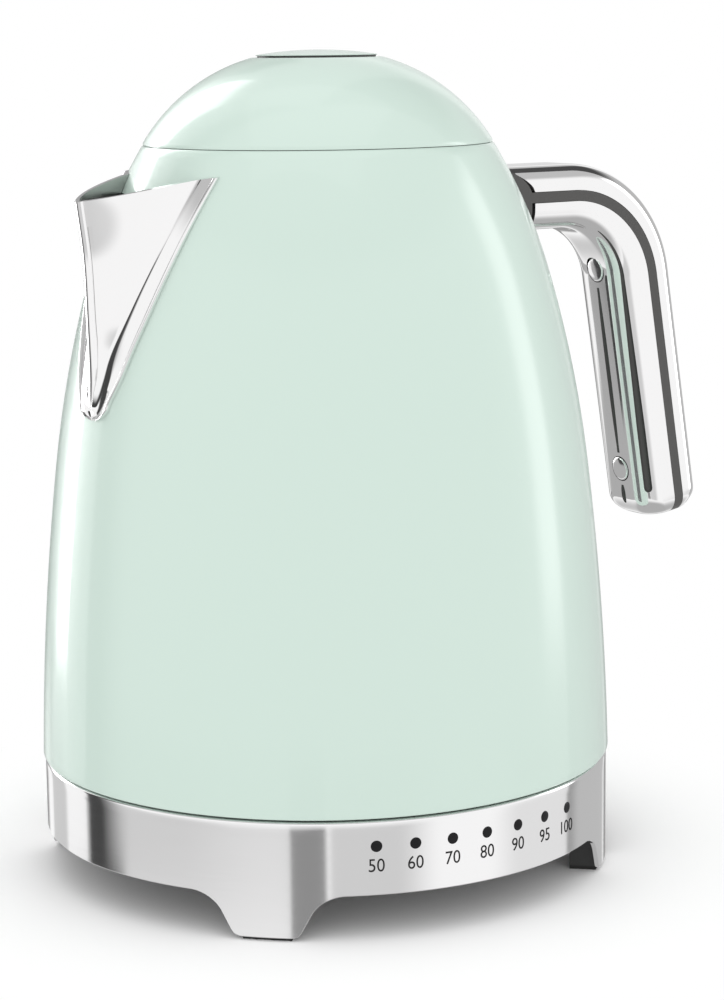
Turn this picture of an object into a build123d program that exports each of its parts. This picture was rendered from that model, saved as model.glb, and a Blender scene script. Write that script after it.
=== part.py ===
"""Electric jug kettle on a round power base. Millimetres, +Z up, origin on the ground under the jug's axis.

The spout points to -X, the handle to +X, and the indicator dots face -Y.
"""

import math
import os

from build123d import *

# Clearances
SEAT_GAP = 0.15
RUN_GAP = 0.4
PIN_GAP = 0.05

# Power base: polished band with lugs, deck and floor
BASE_RADIUS = 85.2
BAND_WALL = 1.2
BAND_TOP = 34.4
BAND_LOWER_EDGE = 13.1
BAND_LIP = 3.6
BAND_ROLL = 0.8
LUG_COUNT = 4
LUG_TURN = 45.7
LUG_FOOT_WIDTH = 17.0
LUG_FLARE = 23.5
LUG_BLEND = 9.0
LUG_CORNER = 1.2
PAD_THICK = 1.0
FOOT_DEPTH = 8.0
FOOT_WIDTH = 14.0
DECK_THICK = 2.5
FLOOR_THICK = 2.5
POST_RADIUS = 3.5
POST_INSET = 22.0
SCREW_RADIUS = 1.3
SCREW_HEAD_RADIUS = 3.0
SCREW_HEAD_THICK = 2.0
SCREW_LENGTH = 11.0

# Connector between base and jug
HUB_RADIUS = 17.0
HUB_RISE = 13.0
HUB_FLANGE = 5.0
HUB_FLANGE_THICK = 2.5
HUB_SLOT_RADIUS = 8.5
HUB_SLOT_WIDTH = 2.6
HUB_SLOT_DEPTH = 9.0
CONTACT_THICK = 1.0
CONTACT_LENGTH = 7.0
CENTRE_PIN_RADIUS = 2.0
COUPLER_WALL = 6.0
COUPLER_ROOF = 2.0
COUPLER_FLANGE = 4.0
COUPLER_FLANGE_THICK = 2.0

# Indicators, buttons, boards and cord inlet
INDICATOR_COUNT = 7
INDICATOR_TURN = -90.8
INDICATOR_PITCH = 7.53
INDICATOR_HEIGHT = 27.2
INDICATOR_RADIUS = 1.65
LENS_LENGTH = 3.4
CARRIER_THICK = 2.0
BUTTON_TURN = 9.0
BUTTON_RADIUS = 6.0
BUTTON_PROUD = 0.8
BUTTON_TRAVEL = 1.2
BUTTON_FLANGE = 1.0
BUTTON_FLANGE_THICK = 1.5
BUTTON_STEM_RADIUS = 2.2
BUTTON_STEM_LENGTH = 3.0
KEY_SIZE = 6.0
KEY_HEIGHT = 4.0
BOARD_THICK = 1.6
BUTTON_BOARD_WIDTH = 44.0
BUTTON_BOARD_HEIGHT = 13.0
CONTROL_BOARD_SIZE = (56.0, 30.0)
CONTROL_BOARD_INSET = 40.0
BOARD_BOSS_HEIGHT = 3.0
BOARD_BOSS_RADIUS = 2.5
BOARD_BOSS_INSET = 4.0
RELAY_SIZE = (19.0, 15.0, 8.0)
CORD_TURN = 94.3
CORD_HEIGHT = 22.0
CORD_BORE_RADIUS = 3.6
BUSH_RADIUS = 5.2
BUSH_FLANGE = 2.0
BUSH_FLANGE_THICK = 1.0
BUSH_LENGTH = 10.0

# Jug wall: tangent arcs that lean in from the bottom edge, each with its radius as a share of the wall's
# height and the lean where it ends
JUG_OVERHANG = 0.62
JUG_BOTTOM = 35.1
JUG_WALL = 1.2
JUG_START_LEAN = 1.4
JUG_ARC_SHARES = (4.97, 1.988, 0.8835)
JUG_ARC_LEANS = (7.0, 16.0, 40.0)
SEAM_HEIGHT = 216.2
SEAM_GAP = 0.5

# Jug bottom and heater
UNDER_COVER_HEIGHT = 37.0
UNDER_COVER_THICK = 2.5
SEAT_RING_INSET = 11.0
SEAT_RING_WIDTH = 5.0
WATER_FLOOR_HEIGHT = 62.0
WATER_FLOOR_THICK = 1.2
HEAT_PLATE_INSET = 26.0
HEAT_PLATE_THICK = 4.0
ELEMENT_INSET = 10.0
ELEMENT_WIDTH = 7.0
ELEMENT_DEPTH = 6.5
ELEMENT_SWEEP = 300.0
CONTROL_INSET = 18.0
PROBE_RADIUS = 3.0
PROBE_LENGTH_ABOVE = 10.0
PROBE_COLLAR = 2.0
PROBE_COLLAR_THICK = 2.0
PROBE_TIP_ROUND = 2.7
PROBE_SEAL_WIDTH = 3.0
PROBE_SEAL_THICK = 2.0

# Spout: open V-shaped channel with a flange that follows the jug wall. Drops count down from the lid seam,
# reaches outwards from the mouth, and each level has its drop, its reach and its half width
SPOUT_TIP_DROP = 13.9
SPOUT_RIM_DROP = 7.9
SPOUT_SPAN = 28.6
SPOUT_SHEET = 1.2
SPOUT_NOSE = 2.6
SPOUT_FLANGE_THICK = 1.6
SPOUT_FLANGE_WIDTH = 5.0
SPOUT_BOTTOM_DROP = 75.7
SPOUT_TURN_DROP = 68.7
SPOUT_TURN_WIDTH = 9.5
SPOUT_WAIST_DROP = 35.2
SPOUT_WAIST_WIDTH = 22.7
SPOUT_TOP_WIDTH = 27.4
SPOUT_LEVELS = ((70.2, 25.6, 4.2), (51.2, 25.9, 10.8), (30.2, 26.7, 18.2), (4.2, 29.8, 24.0))

# Filter behind the spout
FILTER_THICK = 2.4
FILTER_RIM = 3.0
FILTER_FOOT_DROP = 63.2
FILTER_FOOT_WIDTH = 7.0
FILTER_TOP_WIDTH = 17.0
FILTER_WALL_GAP = 0.5
MESH_THICK = 0.4
MESH_PITCH = 3.2
MESH_HOLE = 1.8

# Gauge window below the handle
GAUGE_RISE = 10.0
GAUGE_DROP = 56.2
GAUGE_WIDTH = 12.0
GASKET_WIDTH = 1.4
GAUGE_PROUD = 0.4

# Handle: a hook open at the bottom, two chromed shells on a dark core
HANDLE_DROP = 18.7
HANDLE_SPAN = 61.9
HANDLE_LEAN = 9.2
HANDLE_BEND = 31.0
HANDLE_INNER_BEND = 20.0
HANDLE_LENGTH = 105.8
HANDLE_WIDTH = 23.6
HANDLE_OUTER_DEPTH = 9.7
HANDLE_TOP_INNER_DEPTH = 10.2
HANDLE_GRIP_INNER_DEPTH = 13.2
HANDLE_ROUND = 6.5
HANDLE_END_ROUND = 7.5
HANDLE_WALL = 2.0
STRIP_WIDTH = 3.2
ROOT_SPAN = 18.4
ROOT_CREST = 1.5
PLUG_TOP = 22.9
PLUG_END = 16.9
PLUG_RADIUS = 3.8
HANDLE_SCREW_RADIUS = 1.5
HANDLE_SCREW_HEAD = 2.6
HANDLE_BOSS_RADIUS = 4.4
MOUNT_SCREW_DROP = 3.5
MOUNT_SCREW_SPREAD = 6.0
MOUNT_SCREW_RADIUS = 2.0
MOUNT_SCREW_HEAD_RADIUS = 4.0
MOUNT_SCREW_HEAD_THICK = 2.2
MOUNT_SCREW_LENGTH = 9.0

# Lid: domed shell, liner, seal, hinge, button and latch
LID_ARC_SHARE = 1.0655
LID_START_LEAN = 31.0
LID_WALL = 1.0
LID_COLLAR_DEPTH = 9.0
BUTTON_HOLE_RADIUS = 18.7
LID_BUTTON_CROWN = 2.0
LID_BUTTON_TRAVEL = 3.0
LID_BUTTON_SKIRT = 8.0
LID_BUTTON_WALL = 1.8
LID_STEM_RADIUS = 5.0
LINER_THICK = 2.0
LINER_PLUG_GAP = 1.0
LINER_PLUG_DEPTH = 9.0
WELL_RADIUS = 9.0
WELL_RISE = 15.0
NECK_INSET = 8.1
NECK_TOP_DROP = 1.2
NECK_DEPTH = 9.0
SEAL_WIDTH = 4.0
LATCH_WIDTH = 12.0
LATCH_THICK = 3.0
LATCH_NOSE = 2.0
LATCH_ROOM = 1.2
WEDGE_HALF_WIDTH = 3.5
WEDGE_BACK = 4.5
WEDGE_FACE = 0.5
LATCH_TAIL = 14.0
SPRING_WIRE = 1.0
LATCH_SPRING_RADIUS = 1.3
LATCH_SPRING_LENGTH = 9.0
LATCH_STOP_THICK = 2.0
HINGE_STANDOFF = 4.0
HINGE_DROP = 0.7
HINGE_PIN_RADIUS = 1.1
HINGE_BARREL_RADIUS = 2.6
HINGE_HALF_WIDTH = 6.0
HINGE_ARM_HALF_WIDTH = 2.8
HINGE_ARM_THICK = 2.0
HINGE_ARM_INSET = 5.5
ARM_SCREW_PLACES = (2.0, 6.5)
ARM_SCREW_RADIUS = 1.1
ARM_SCREW_HEAD = 2.0
ARM_SCREW_HEAD_THICK = 1.2

# Heights and radii worked out from the driving dimensions
band_inside = BASE_RADIUS - BAND_WALL
post_circle = band_inside - POST_INSET
control_board_centre = (0.0, CONTROL_BOARD_INSET - band_inside)
seat_ring_radius = band_inside - SEAT_RING_INSET
heat_plate_radius = band_inside - HEAT_PLATE_INSET
element_radius = heat_plate_radius - ELEMENT_INSET
control_radius = element_radius - CONTROL_INSET
probe_reach = (control_radius + element_radius - ELEMENT_WIDTH / 2) / 2
jug_radius = BASE_RADIUS + JUG_OVERHANG
jug_arc_radii = [share * (SEAM_HEIGHT - JUG_BOTTOM) for share in JUG_ARC_SHARES]
spout_tip = SEAM_HEIGHT - SPOUT_TIP_DROP
spout_rim = SEAM_HEIGHT - SPOUT_RIM_DROP
spout_bottom = SEAM_HEIGHT - SPOUT_BOTTOM_DROP
spout_turn = SEAM_HEIGHT - SPOUT_TURN_DROP
spout_waist = SEAM_HEIGHT - SPOUT_WAIST_DROP
filter_foot = SEAM_HEIGHT - FILTER_FOOT_DROP
gauge_low = WATER_FLOOR_HEIGHT + GAUGE_RISE
gauge_high = SEAM_HEIGHT - GAUGE_DROP
handle_height = SEAM_HEIGHT - HANDLE_DROP
mount_screw_height = handle_height - MOUNT_SCREW_DROP
hinge_height = SEAM_HEIGHT - HINGE_DROP
deck_top = BAND_TOP - BAND_WALL
deck_bottom = deck_top - DECK_THICK
floor_top = BAND_LOWER_EDGE + FLOOR_THICK
button_height = (floor_top + deck_bottom) / 2
hub_top = deck_top + HUB_RISE
coupler_bore = HUB_RADIUS + RUN_GAP
coupler_radius = coupler_bore + COUPLER_WALL
coupler_roof = hub_top + RUN_GAP
coupler_top = coupler_roof + COUPLER_ROOF
under_cover_top = UNDER_COVER_HEIGHT + UNDER_COVER_THICK
water_floor_under = WATER_FLOOR_HEIGHT - WATER_FLOOR_THICK
heat_plate_under = water_floor_under - HEAT_PLATE_THICK
lid_edge = SEAM_HEIGHT + SEAM_GAP / 2
shell_edge = SEAM_HEIGHT - SEAM_GAP / 2
liner_top = lid_edge + LINER_THICK
plug_floor = lid_edge - LINER_PLUG_DEPTH
neck_top = shell_edge - NECK_TOP_DROP
neck_under = neck_top - NECK_DEPTH
latch_low = plug_floor + LINER_THICK
latch_high = latch_low + LATCH_THICK
wedge_low = latch_low - LID_BUTTON_TRAVEL
well_bottom = wedge_low - LID_BUTTON_TRAVEL - RUN_GAP - LINER_THICK
well_top = plug_floor + WELL_RISE
arm_top = liner_top + HINGE_ARM_THICK


def arc_chain(radius, height, lean, arc_radii, arc_leans):
    """Return centre radius, centre height, arc radius and end height of each tangent arc of a wall."""
    arcs = []
    for arc_radius, end_lean in zip(arc_radii, arc_leans):
        centre_r = radius - arc_radius * math.cos(math.radians(lean))
        centre_z = height - arc_radius * math.sin(math.radians(lean))
        radius = centre_r + arc_radius * math.cos(math.radians(end_lean))
        height = centre_z + arc_radius * math.sin(math.radians(end_lean))
        lean = end_lean
        arcs.append((centre_r, centre_z, arc_radius, end_lean))
    return arcs


JUG = arc_chain(jug_radius, JUG_BOTTOM, JUG_START_LEAN, jug_arc_radii, JUG_ARC_LEANS)


def wall_end(arc, inset):
    """Return the height where an arc of a wall ends, at a depth under the outer surface."""
    return arc[1] + (arc[2] - inset) * math.sin(math.radians(arc[3]))


def wall_radius(arcs, height, inset=0.0):
    """Return the radius of a wall at a height, at a depth under the outer surface."""
    for arc in arcs:
        if height <= wall_end(arc, inset):
            break
    reach = arc[2] - inset
    return arc[0] + math.sqrt(reach**2 - (height - arc[1]) ** 2)


def wall_lean(arcs, height):
    """Return the lean of a wall from the vertical at a height, in radians."""
    for arc in arcs:
        if height <= wall_end(arc, 0.0):
            break
    return math.asin((height - arc[1]) / arc[2])


# Reaches that follow the mouth, which is the jug's outside at the lid seam
mouth_radius = wall_radius(JUG, SEAM_HEIGHT)
spout_reach = mouth_radius + SPOUT_SPAN
handle_corner_reach = mouth_radius + HANDLE_SPAN
plug_places = (PLUG_TOP, HANDLE_LENGTH - PLUG_END)
root_reach = mouth_radius + ROOT_SPAN
neck_radius = mouth_radius - NECK_INSET
liner_plug_radius = neck_radius - LINER_PLUG_GAP
lid_arc_radius = mouth_radius * LID_ARC_SHARE
hinge_reach = mouth_radius + HINGE_STANDOFF
hinge_arm_end = liner_plug_radius - HINGE_ARM_INSET


def wall_curve(arcs, inset, low, high):
    """Draw a wall's profile between two heights, at a depth under the outer surface."""
    start = low
    for arc in arcs:
        end = min(wall_end(arc, inset), high)
        if arc is arcs[-1]:
            end = high
        if end <= start:
            continue
        points = []
        for height in (start, (start + end) / 2, end):
            reach = arc[2] - inset
            points.append((arc[0] + math.sqrt(reach**2 - (height - arc[1]) ** 2), height))
        ThreePointArc(*points)
        start = end


def wall_ring(arcs, outer_inset, inner_inset, low, high):
    """Revolve the band between two depths of a wall, from one height to another."""
    with BuildSketch(Plane.XZ) as profile:
        with BuildLine():
            wall_curve(arcs, outer_inset, low, high)
            wall_curve(arcs, inner_inset, low, high)
            for height in (low, high):
                outer = wall_radius(arcs, height, outer_inset)
                inner = wall_radius(arcs, height, inner_inset)
                Line((outer, height), (inner, height))
        make_face()
    revolve(profile.sketch, axis=Axis.Z)


def wall_solid(arcs, inset, low, high):
    """Revolve the whole solid inside a wall, from one height to another."""
    with BuildSketch(Plane.XZ) as profile:
        with BuildLine():
            wall_curve(arcs, inset, low, high)
            Line((wall_radius(arcs, high, inset), high), (0, high))
            Line((0, high), (0, low))
            Line((0, low), (wall_radius(arcs, low, inset), low))
        make_face()
    revolve(profile.sketch, axis=Axis.Z)


def ring(outer, inner, low, high, mode=Mode.ADD):
    """Make a round ring, or a disc where the inner radius is zero."""
    with BuildSketch(Plane.XY.offset(low)) as section:
        Circle(outer)
        if inner > 0:
            Circle(inner, mode=Mode.SUBTRACT)
    extrude(section.sketch, amount=high - low, mode=mode)


def radial_plane(turn, height, distance):
    """Return a plane that faces outwards from the axis, with its Y upwards."""
    angle = math.radians(turn)
    outward = Vector(math.cos(angle), math.sin(angle), 0)
    return Plane(
        origin=outward * distance + Vector(0, 0, height),
        x_dir=(-math.sin(angle), math.cos(angle), 0),
        z_dir=outward,
    )


def radial_round(turn, height, radius, inner, outer, mode=Mode.ADD):
    """Make a round bar that points outwards from the axis, between two distances."""
    with BuildSketch(radial_plane(turn, height, inner)) as section:
        Circle(radius)
    extrude(section.sketch, amount=outer - inner, mode=mode)


def save(builder, name):
    """Label a finished piece and write it."""
    builder.part.label = name
    export_step(builder.part, f"parts/{name}.step")


os.makedirs("parts", exist_ok=True)
indicator_turns = [
    INDICATOR_TURN + INDICATOR_PITCH * (index - (INDICATOR_COUNT - 1) / 2) for index in range(INDICATOR_COUNT)
]
lug_turns = [LUG_TURN + 360 / LUG_COUNT * index for index in range(LUG_COUNT)]
button_turns = {"start": -BUTTON_TURN, "temperature": BUTTON_TURN}

# Base band: drawn steel ring with an inward lip at the top and four flared lugs
with BuildPart() as base_band:
    with BuildSketch(Plane.XZ):
        with BuildLine():
            Polyline(
                (BASE_RADIUS, PAD_THICK),
                (BASE_RADIUS, BAND_TOP),
                (BASE_RADIUS - BAND_LIP, BAND_TOP),
                (BASE_RADIUS - BAND_LIP, deck_top),
                (band_inside, deck_top),
                (band_inside, PAD_THICK),
                close=True,
            )
        face = make_face()
        fillet(face.vertices().sort_by_distance((BASE_RADIUS, BAND_TOP, 0))[0:1], radius=BAND_ROLL)
    revolve(axis=Axis.Z)
    lug_half = math.degrees(math.asin(LUG_FOOT_WIDTH / 2 / BASE_RADIUS))
    window_half = BASE_RADIUS * math.sin(math.radians(180 / LUG_COUNT - lug_half))
    window_top = window_half - BAND_LOWER_EDGE * math.tan(math.radians(LUG_FLARE))
    for turn in lug_turns:
        with BuildSketch(radial_plane(turn + 180 / LUG_COUNT, 0, 0)):
            with BuildLine():
                Polyline(
                    (-window_half, 0),
                    (window_half, 0),
                    (window_top, BAND_LOWER_EDGE),
                    (-window_top, BAND_LOWER_EDGE),
                    close=True,
                )
            window = make_face()
            fillet(window.vertices().group_by(Axis.Y)[-1], radius=LUG_BLEND)
        extrude(amount=BASE_RADIUS + BAND_WALL, mode=Mode.SUBTRACT)
    lug_corners = base_band.edges().group_by(Axis.Z)[0].filter_by(GeomType.LINE)
    fillet(lug_corners, radius=LUG_CORNER)
    for turn in indicator_turns:
        hole = INDICATOR_RADIUS + SEAT_GAP
        radial_round(turn, INDICATOR_HEIGHT, hole, post_circle, BASE_RADIUS + BAND_WALL, Mode.SUBTRACT)
    for turn in button_turns.values():
        hole = BUTTON_RADIUS + RUN_GAP
        radial_round(turn, button_height, hole, post_circle, BASE_RADIUS + BAND_WALL, Mode.SUBTRACT)
    bush_hole = BUSH_RADIUS + SEAT_GAP
    radial_round(CORD_TURN, CORD_HEIGHT, bush_hole, post_circle, BASE_RADIUS + BAND_WALL, Mode.SUBTRACT)
save(base_band, "base_band")

# Base deck: top plate clamped under the band's lip, with four screw posts
with BuildPart() as base_deck:
    ring(band_inside - SEAT_GAP, HUB_RADIUS + SEAT_GAP, deck_bottom, deck_top)
    with BuildSketch(Plane.XY.offset(floor_top)):
        with PolarLocations(post_circle, LUG_COUNT, start_angle=LUG_TURN):
            Circle(POST_RADIUS)
            Circle(SCREW_RADIUS + PIN_GAP, mode=Mode.SUBTRACT)
    extrude(amount=deck_bottom - floor_top)
save(base_deck, "base_deck")

# Base floor: bottom cover with the screw holes and the bosses of the control board
board_hole = (
    CONTROL_BOARD_SIZE[0] - 2 * BOARD_BOSS_INSET,
    CONTROL_BOARD_SIZE[1] - 2 * BOARD_BOSS_INSET,
)
with BuildPart() as base_floor:
    ring(band_inside - SEAT_GAP, 0, BAND_LOWER_EDGE, floor_top)
    with BuildSketch(Plane.XY.offset(floor_top)):
        with Locations(control_board_centre):
            with GridLocations(board_hole[0], board_hole[1], 2, 2):
                Circle(BOARD_BOSS_RADIUS)
    extrude(amount=BOARD_BOSS_HEIGHT)
    with BuildSketch(Plane.XY.offset(BAND_LOWER_EDGE)):
        with PolarLocations(post_circle, LUG_COUNT, start_angle=LUG_TURN):
            Circle(SCREW_RADIUS + SEAT_GAP)
    extrude(amount=FLOOR_THICK, mode=Mode.SUBTRACT)
save(base_floor, "base_floor")

# Foot blocks: black plastic feet behind the lugs, under the floor
foot_outer = math.sqrt(band_inside**2 - (FOOT_WIDTH / 2) ** 2) - SEAT_GAP
foot_middle = foot_outer - FOOT_DEPTH / 2
with BuildPart() as foot_blocks:
    with BuildSketch(Plane.XY.offset(PAD_THICK)):
        with PolarLocations(foot_middle, LUG_COUNT, start_angle=LUG_TURN):
            Rectangle(FOOT_DEPTH, FOOT_WIDTH)
    extrude(amount=BAND_LOWER_EDGE - PAD_THICK)
save(foot_blocks, "foot_blocks")

# Foot pads: thin rubber under each foot block
with BuildPart() as foot_pads:
    with BuildSketch():
        with PolarLocations(foot_middle, LUG_COUNT, start_angle=LUG_TURN):
            Rectangle(FOOT_DEPTH, FOOT_WIDTH)
    extrude(amount=PAD_THICK)
save(foot_pads, "foot_pads")

# Base screws: from under the floor into the deck's posts
with BuildPart() as base_screws:
    with BuildSketch(Plane.XY.offset(BAND_LOWER_EDGE - SCREW_HEAD_THICK)):
        with PolarLocations(post_circle, LUG_COUNT, start_angle=LUG_TURN):
            Circle(SCREW_HEAD_RADIUS)
    extrude(amount=SCREW_HEAD_THICK)
    with BuildSketch(Plane.XY.offset(BAND_LOWER_EDGE)):
        with PolarLocations(post_circle, LUG_COUNT, start_angle=LUG_TURN):
            Circle(SCREW_RADIUS)
    extrude(amount=SCREW_LENGTH)
save(base_screws, "base_screws")

# Connector hub: raised in the middle of the deck, with a centre hole and a ring slot for the contacts
slot_outer = HUB_SLOT_RADIUS + HUB_SLOT_WIDTH / 2
slot_inner = HUB_SLOT_RADIUS - HUB_SLOT_WIDTH / 2
pin_hole = CENTRE_PIN_RADIUS + RUN_GAP
with BuildPart() as connector_hub:
    ring(HUB_RADIUS, 0, deck_bottom - HUB_FLANGE_THICK, hub_top)
    ring(HUB_RADIUS + HUB_FLANGE, 0, deck_bottom - HUB_FLANGE_THICK, deck_bottom)
    fillet(connector_hub.edges().group_by(Axis.Z)[-1], radius=BAND_ROLL)
    ring(slot_outer, slot_inner, hub_top - HUB_SLOT_DEPTH, hub_top, Mode.SUBTRACT)
    ring(pin_hole, 0, hub_top - HUB_SLOT_DEPTH, hub_top, Mode.SUBTRACT)
save(connector_hub, "connector_hub")

# Hub contacts: brass ring and disc at the bottom of the hub's slot and hole
with BuildPart() as hub_contacts:
    contact_low = hub_top - HUB_SLOT_DEPTH
    ring(slot_outer - SEAT_GAP, slot_inner + SEAT_GAP, contact_low, contact_low + CONTACT_THICK)
    ring(pin_hole - SEAT_GAP, 0, contact_low, contact_low + CONTACT_THICK)
save(hub_contacts, "hub_contacts")

# Indicator carrier: curved strip that holds the lenses behind the band
carrier_outer = BASE_RADIUS - LENS_LENGTH - SEAT_GAP
carrier_sweep = INDICATOR_PITCH * (INDICATOR_COUNT + 1)
with BuildPart() as indicator_carrier:
    with BuildSketch(Plane.XZ):
        with Locations((carrier_outer - CARRIER_THICK / 2, floor_top)):
            Rectangle(CARRIER_THICK, deck_bottom - floor_top, align=(Align.CENTER, Align.MIN))
    revolve(axis=Axis.Z, revolution_arc=carrier_sweep)
indicator_carrier.part = indicator_carrier.part.rotate(Axis.Z, INDICATOR_TURN - carrier_sweep / 2)
save(indicator_carrier, "indicator_carrier")

# Indicator lenses: seven small round lenses flush with the band
with BuildPart() as indicator_lenses:
    for turn in indicator_turns:
        radial_round(turn, INDICATOR_HEIGHT, INDICATOR_RADIUS, BASE_RADIUS - LENS_LENGTH, BASE_RADIUS)
save(indicator_lenses, "indicator_lenses")

# Buttons: round caps through the band under the handle, each with a flange inside and a stem to its key
flange_reach = math.sqrt(band_inside**2 - (BUTTON_RADIUS + BUTTON_FLANGE) ** 2) - RUN_GAP
stem_reach = flange_reach - BUTTON_FLANGE_THICK - BUTTON_STEM_LENGTH
for button_name, turn in button_turns.items():
    with BuildPart() as push_button:
        radial_round(turn, button_height, BUTTON_RADIUS, flange_reach, BASE_RADIUS + BUTTON_PROUD)
        cap_rim = push_button.edges().filter_by(GeomType.CIRCLE)
        fillet(cap_rim.sort_by_distance((0, 0, button_height))[-1:], radius=BUTTON_PROUD / 2)
        button_flange = BUTTON_RADIUS + BUTTON_FLANGE
        radial_round(turn, button_height, button_flange, flange_reach - BUTTON_FLANGE_THICK, flange_reach)
        radial_round(turn, button_height, BUTTON_STEM_RADIUS, stem_reach, flange_reach)
    save(push_button, f"{button_name}_button")

# Button board: upright board on the floor with one key behind each button stem
key_face = stem_reach - BUTTON_TRAVEL - RUN_GAP
board_face = key_face * math.cos(math.radians(BUTTON_TURN)) - KEY_HEIGHT
with BuildPart() as button_board:
    with BuildSketch(Plane.XY.offset(floor_top)):
        with Locations((board_face - BOARD_THICK / 2, 0)):
            Rectangle(BOARD_THICK, BUTTON_BOARD_WIDTH)
    extrude(amount=BUTTON_BOARD_HEIGHT)
    for turn in button_turns.values():
        with BuildSketch(radial_plane(turn, button_height, key_face - KEY_HEIGHT - BOARD_THICK)):
            Rectangle(KEY_SIZE, KEY_SIZE)
        extrude(amount=KEY_HEIGHT + BOARD_THICK)
save(button_board, "button_board")

# Control board on its bosses, and the relay on it
board_low = floor_top + BOARD_BOSS_HEIGHT
with BuildPart() as control_board:
    with BuildSketch(Plane.XY.offset(board_low)):
        with Locations(control_board_centre):
            Rectangle(*CONTROL_BOARD_SIZE)
    extrude(amount=BOARD_THICK)
save(control_board, "control_board")

with BuildPart() as power_relay:
    with BuildSketch(Plane.XY.offset(board_low + BOARD_THICK)):
        with Locations(control_board_centre):
            Rectangle(RELAY_SIZE[0], RELAY_SIZE[1])
    extrude(amount=RELAY_SIZE[2])
save(power_relay, "power_relay")

# Cord bush: the rubber inlet of the mains lead through the band
with BuildPart() as cord_bush:
    bush_face = BASE_RADIUS + SEAT_GAP
    radial_round(CORD_TURN, CORD_HEIGHT, BUSH_RADIUS, bush_face - BUSH_LENGTH, bush_face)
    bush_flange = BUSH_RADIUS + BUSH_FLANGE
    radial_round(CORD_TURN, CORD_HEIGHT, bush_flange, bush_face, bush_face + BUSH_FLANGE_THICK)
    radial_round(
        CORD_TURN,
        CORD_HEIGHT,
        CORD_BORE_RADIUS,
        bush_face - BUSH_LENGTH,
        bush_face + BUSH_FLANGE_THICK,
        Mode.SUBTRACT,
    )
save(cord_bush, "cord_bush")

# Coupler: round socket over the hub, held in the under cover by its flange
with BuildPart() as coupler:
    ring(coupler_radius, coupler_bore, UNDER_COVER_HEIGHT, coupler_roof)
    ring(coupler_radius, 0, coupler_roof, coupler_top)
    coupler_flange = coupler_radius + COUPLER_FLANGE
    ring(coupler_flange, coupler_bore, under_cover_top, under_cover_top + COUPLER_FLANGE_THICK)
save(coupler, "coupler")

# Coupler contacts: centre pin and ring that hang from the socket's roof into the hub
with BuildPart() as coupler_contacts:
    ring(CENTRE_PIN_RADIUS, 0, coupler_roof - CONTACT_LENGTH, coupler_roof)
    contact_half = HUB_SLOT_WIDTH / 2 - RUN_GAP
    contact_outer = HUB_SLOT_RADIUS + contact_half
    ring(contact_outer, HUB_SLOT_RADIUS - contact_half, coupler_roof - CONTACT_LENGTH, coupler_roof)
save(coupler_contacts, "coupler_contacts")

# Under cover: closes the jug's bottom and stands on the deck with its seat ring
with BuildPart() as under_cover:
    cover_radius = wall_radius(JUG, under_cover_top, JUG_WALL) - SEAT_GAP
    ring(cover_radius, coupler_radius + RUN_GAP, UNDER_COVER_HEIGHT, under_cover_top)
    seat_outer = seat_ring_radius + SEAT_RING_WIDTH / 2
    ring(seat_outer, seat_outer - SEAT_RING_WIDTH, deck_top, UNDER_COVER_HEIGHT)
save(under_cover, "under_cover")

# Jug floor, heat plate, element, control and probe
probe_spot = (-probe_reach, 0)
with BuildPart() as jug_floor:
    floor_radius = wall_radius(JUG, WATER_FLOOR_HEIGHT, JUG_WALL) - SEAT_GAP
    ring(floor_radius, 0, water_floor_under, WATER_FLOOR_HEIGHT)
    with BuildSketch(Plane.XY.offset(water_floor_under)):
        with Locations(probe_spot):
            Circle(PROBE_RADIUS + SEAT_GAP)
    extrude(amount=WATER_FLOOR_THICK, mode=Mode.SUBTRACT)
save(jug_floor, "jug_floor")

with BuildPart() as heat_plate:
    ring(heat_plate_radius, 0, heat_plate_under, water_floor_under)
    with BuildSketch(Plane.XY.offset(heat_plate_under)):
        with Locations(probe_spot):
            Circle(PROBE_RADIUS + SEAT_GAP)
    extrude(amount=HEAT_PLATE_THICK, mode=Mode.SUBTRACT)
save(heat_plate, "heat_plate")

with BuildPart() as heating_element:
    with BuildSketch(Plane.XZ):
        with Locations((element_radius, heat_plate_under - ELEMENT_DEPTH / 2)):
            section = Rectangle(ELEMENT_WIDTH, ELEMENT_DEPTH)
        fillet(section.vertices().group_by(Axis.Y)[0], radius=ELEMENT_DEPTH / 3)
    revolve(axis=Axis.Z, revolution_arc=ELEMENT_SWEEP)
save(heating_element, "heating_element")

with BuildPart() as cutout_control:
    ring(control_radius, 0, coupler_top + RUN_GAP, heat_plate_under)
    fillet(cutout_control.edges().group_by(Axis.Z)[0], radius=BAND_ROLL)
save(cutout_control, "cutout_control")

with BuildPart() as temperature_probe:
    with BuildSketch(Plane.XY.offset(heat_plate_under - PROBE_COLLAR_THICK)):
        with Locations(probe_spot):
            Circle(PROBE_RADIUS + PROBE_COLLAR)
    extrude(amount=PROBE_COLLAR_THICK)
    with BuildSketch(Plane.XY.offset(heat_plate_under)):
        with Locations(probe_spot):
            Circle(PROBE_RADIUS)
    extrude(amount=WATER_FLOOR_HEIGHT + PROBE_LENGTH_ABOVE - heat_plate_under)
    tip_round = min(PROBE_TIP_ROUND, PROBE_RADIUS - SEAT_GAP)
    fillet(temperature_probe.edges().group_by(Axis.Z)[-1], radius=tip_round)
save(temperature_probe, "temperature_probe")

with BuildPart() as probe_seal:
    with BuildSketch(Plane.XY.offset(WATER_FLOOR_HEIGHT)):
        with Locations(probe_spot):
            Circle(PROBE_RADIUS + PROBE_SEAL_WIDTH)
            Circle(PROBE_RADIUS + SEAT_GAP, mode=Mode.SUBTRACT)
    extrude(amount=PROBE_SEAL_THICK)
save(probe_seal, "probe_seal")


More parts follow.
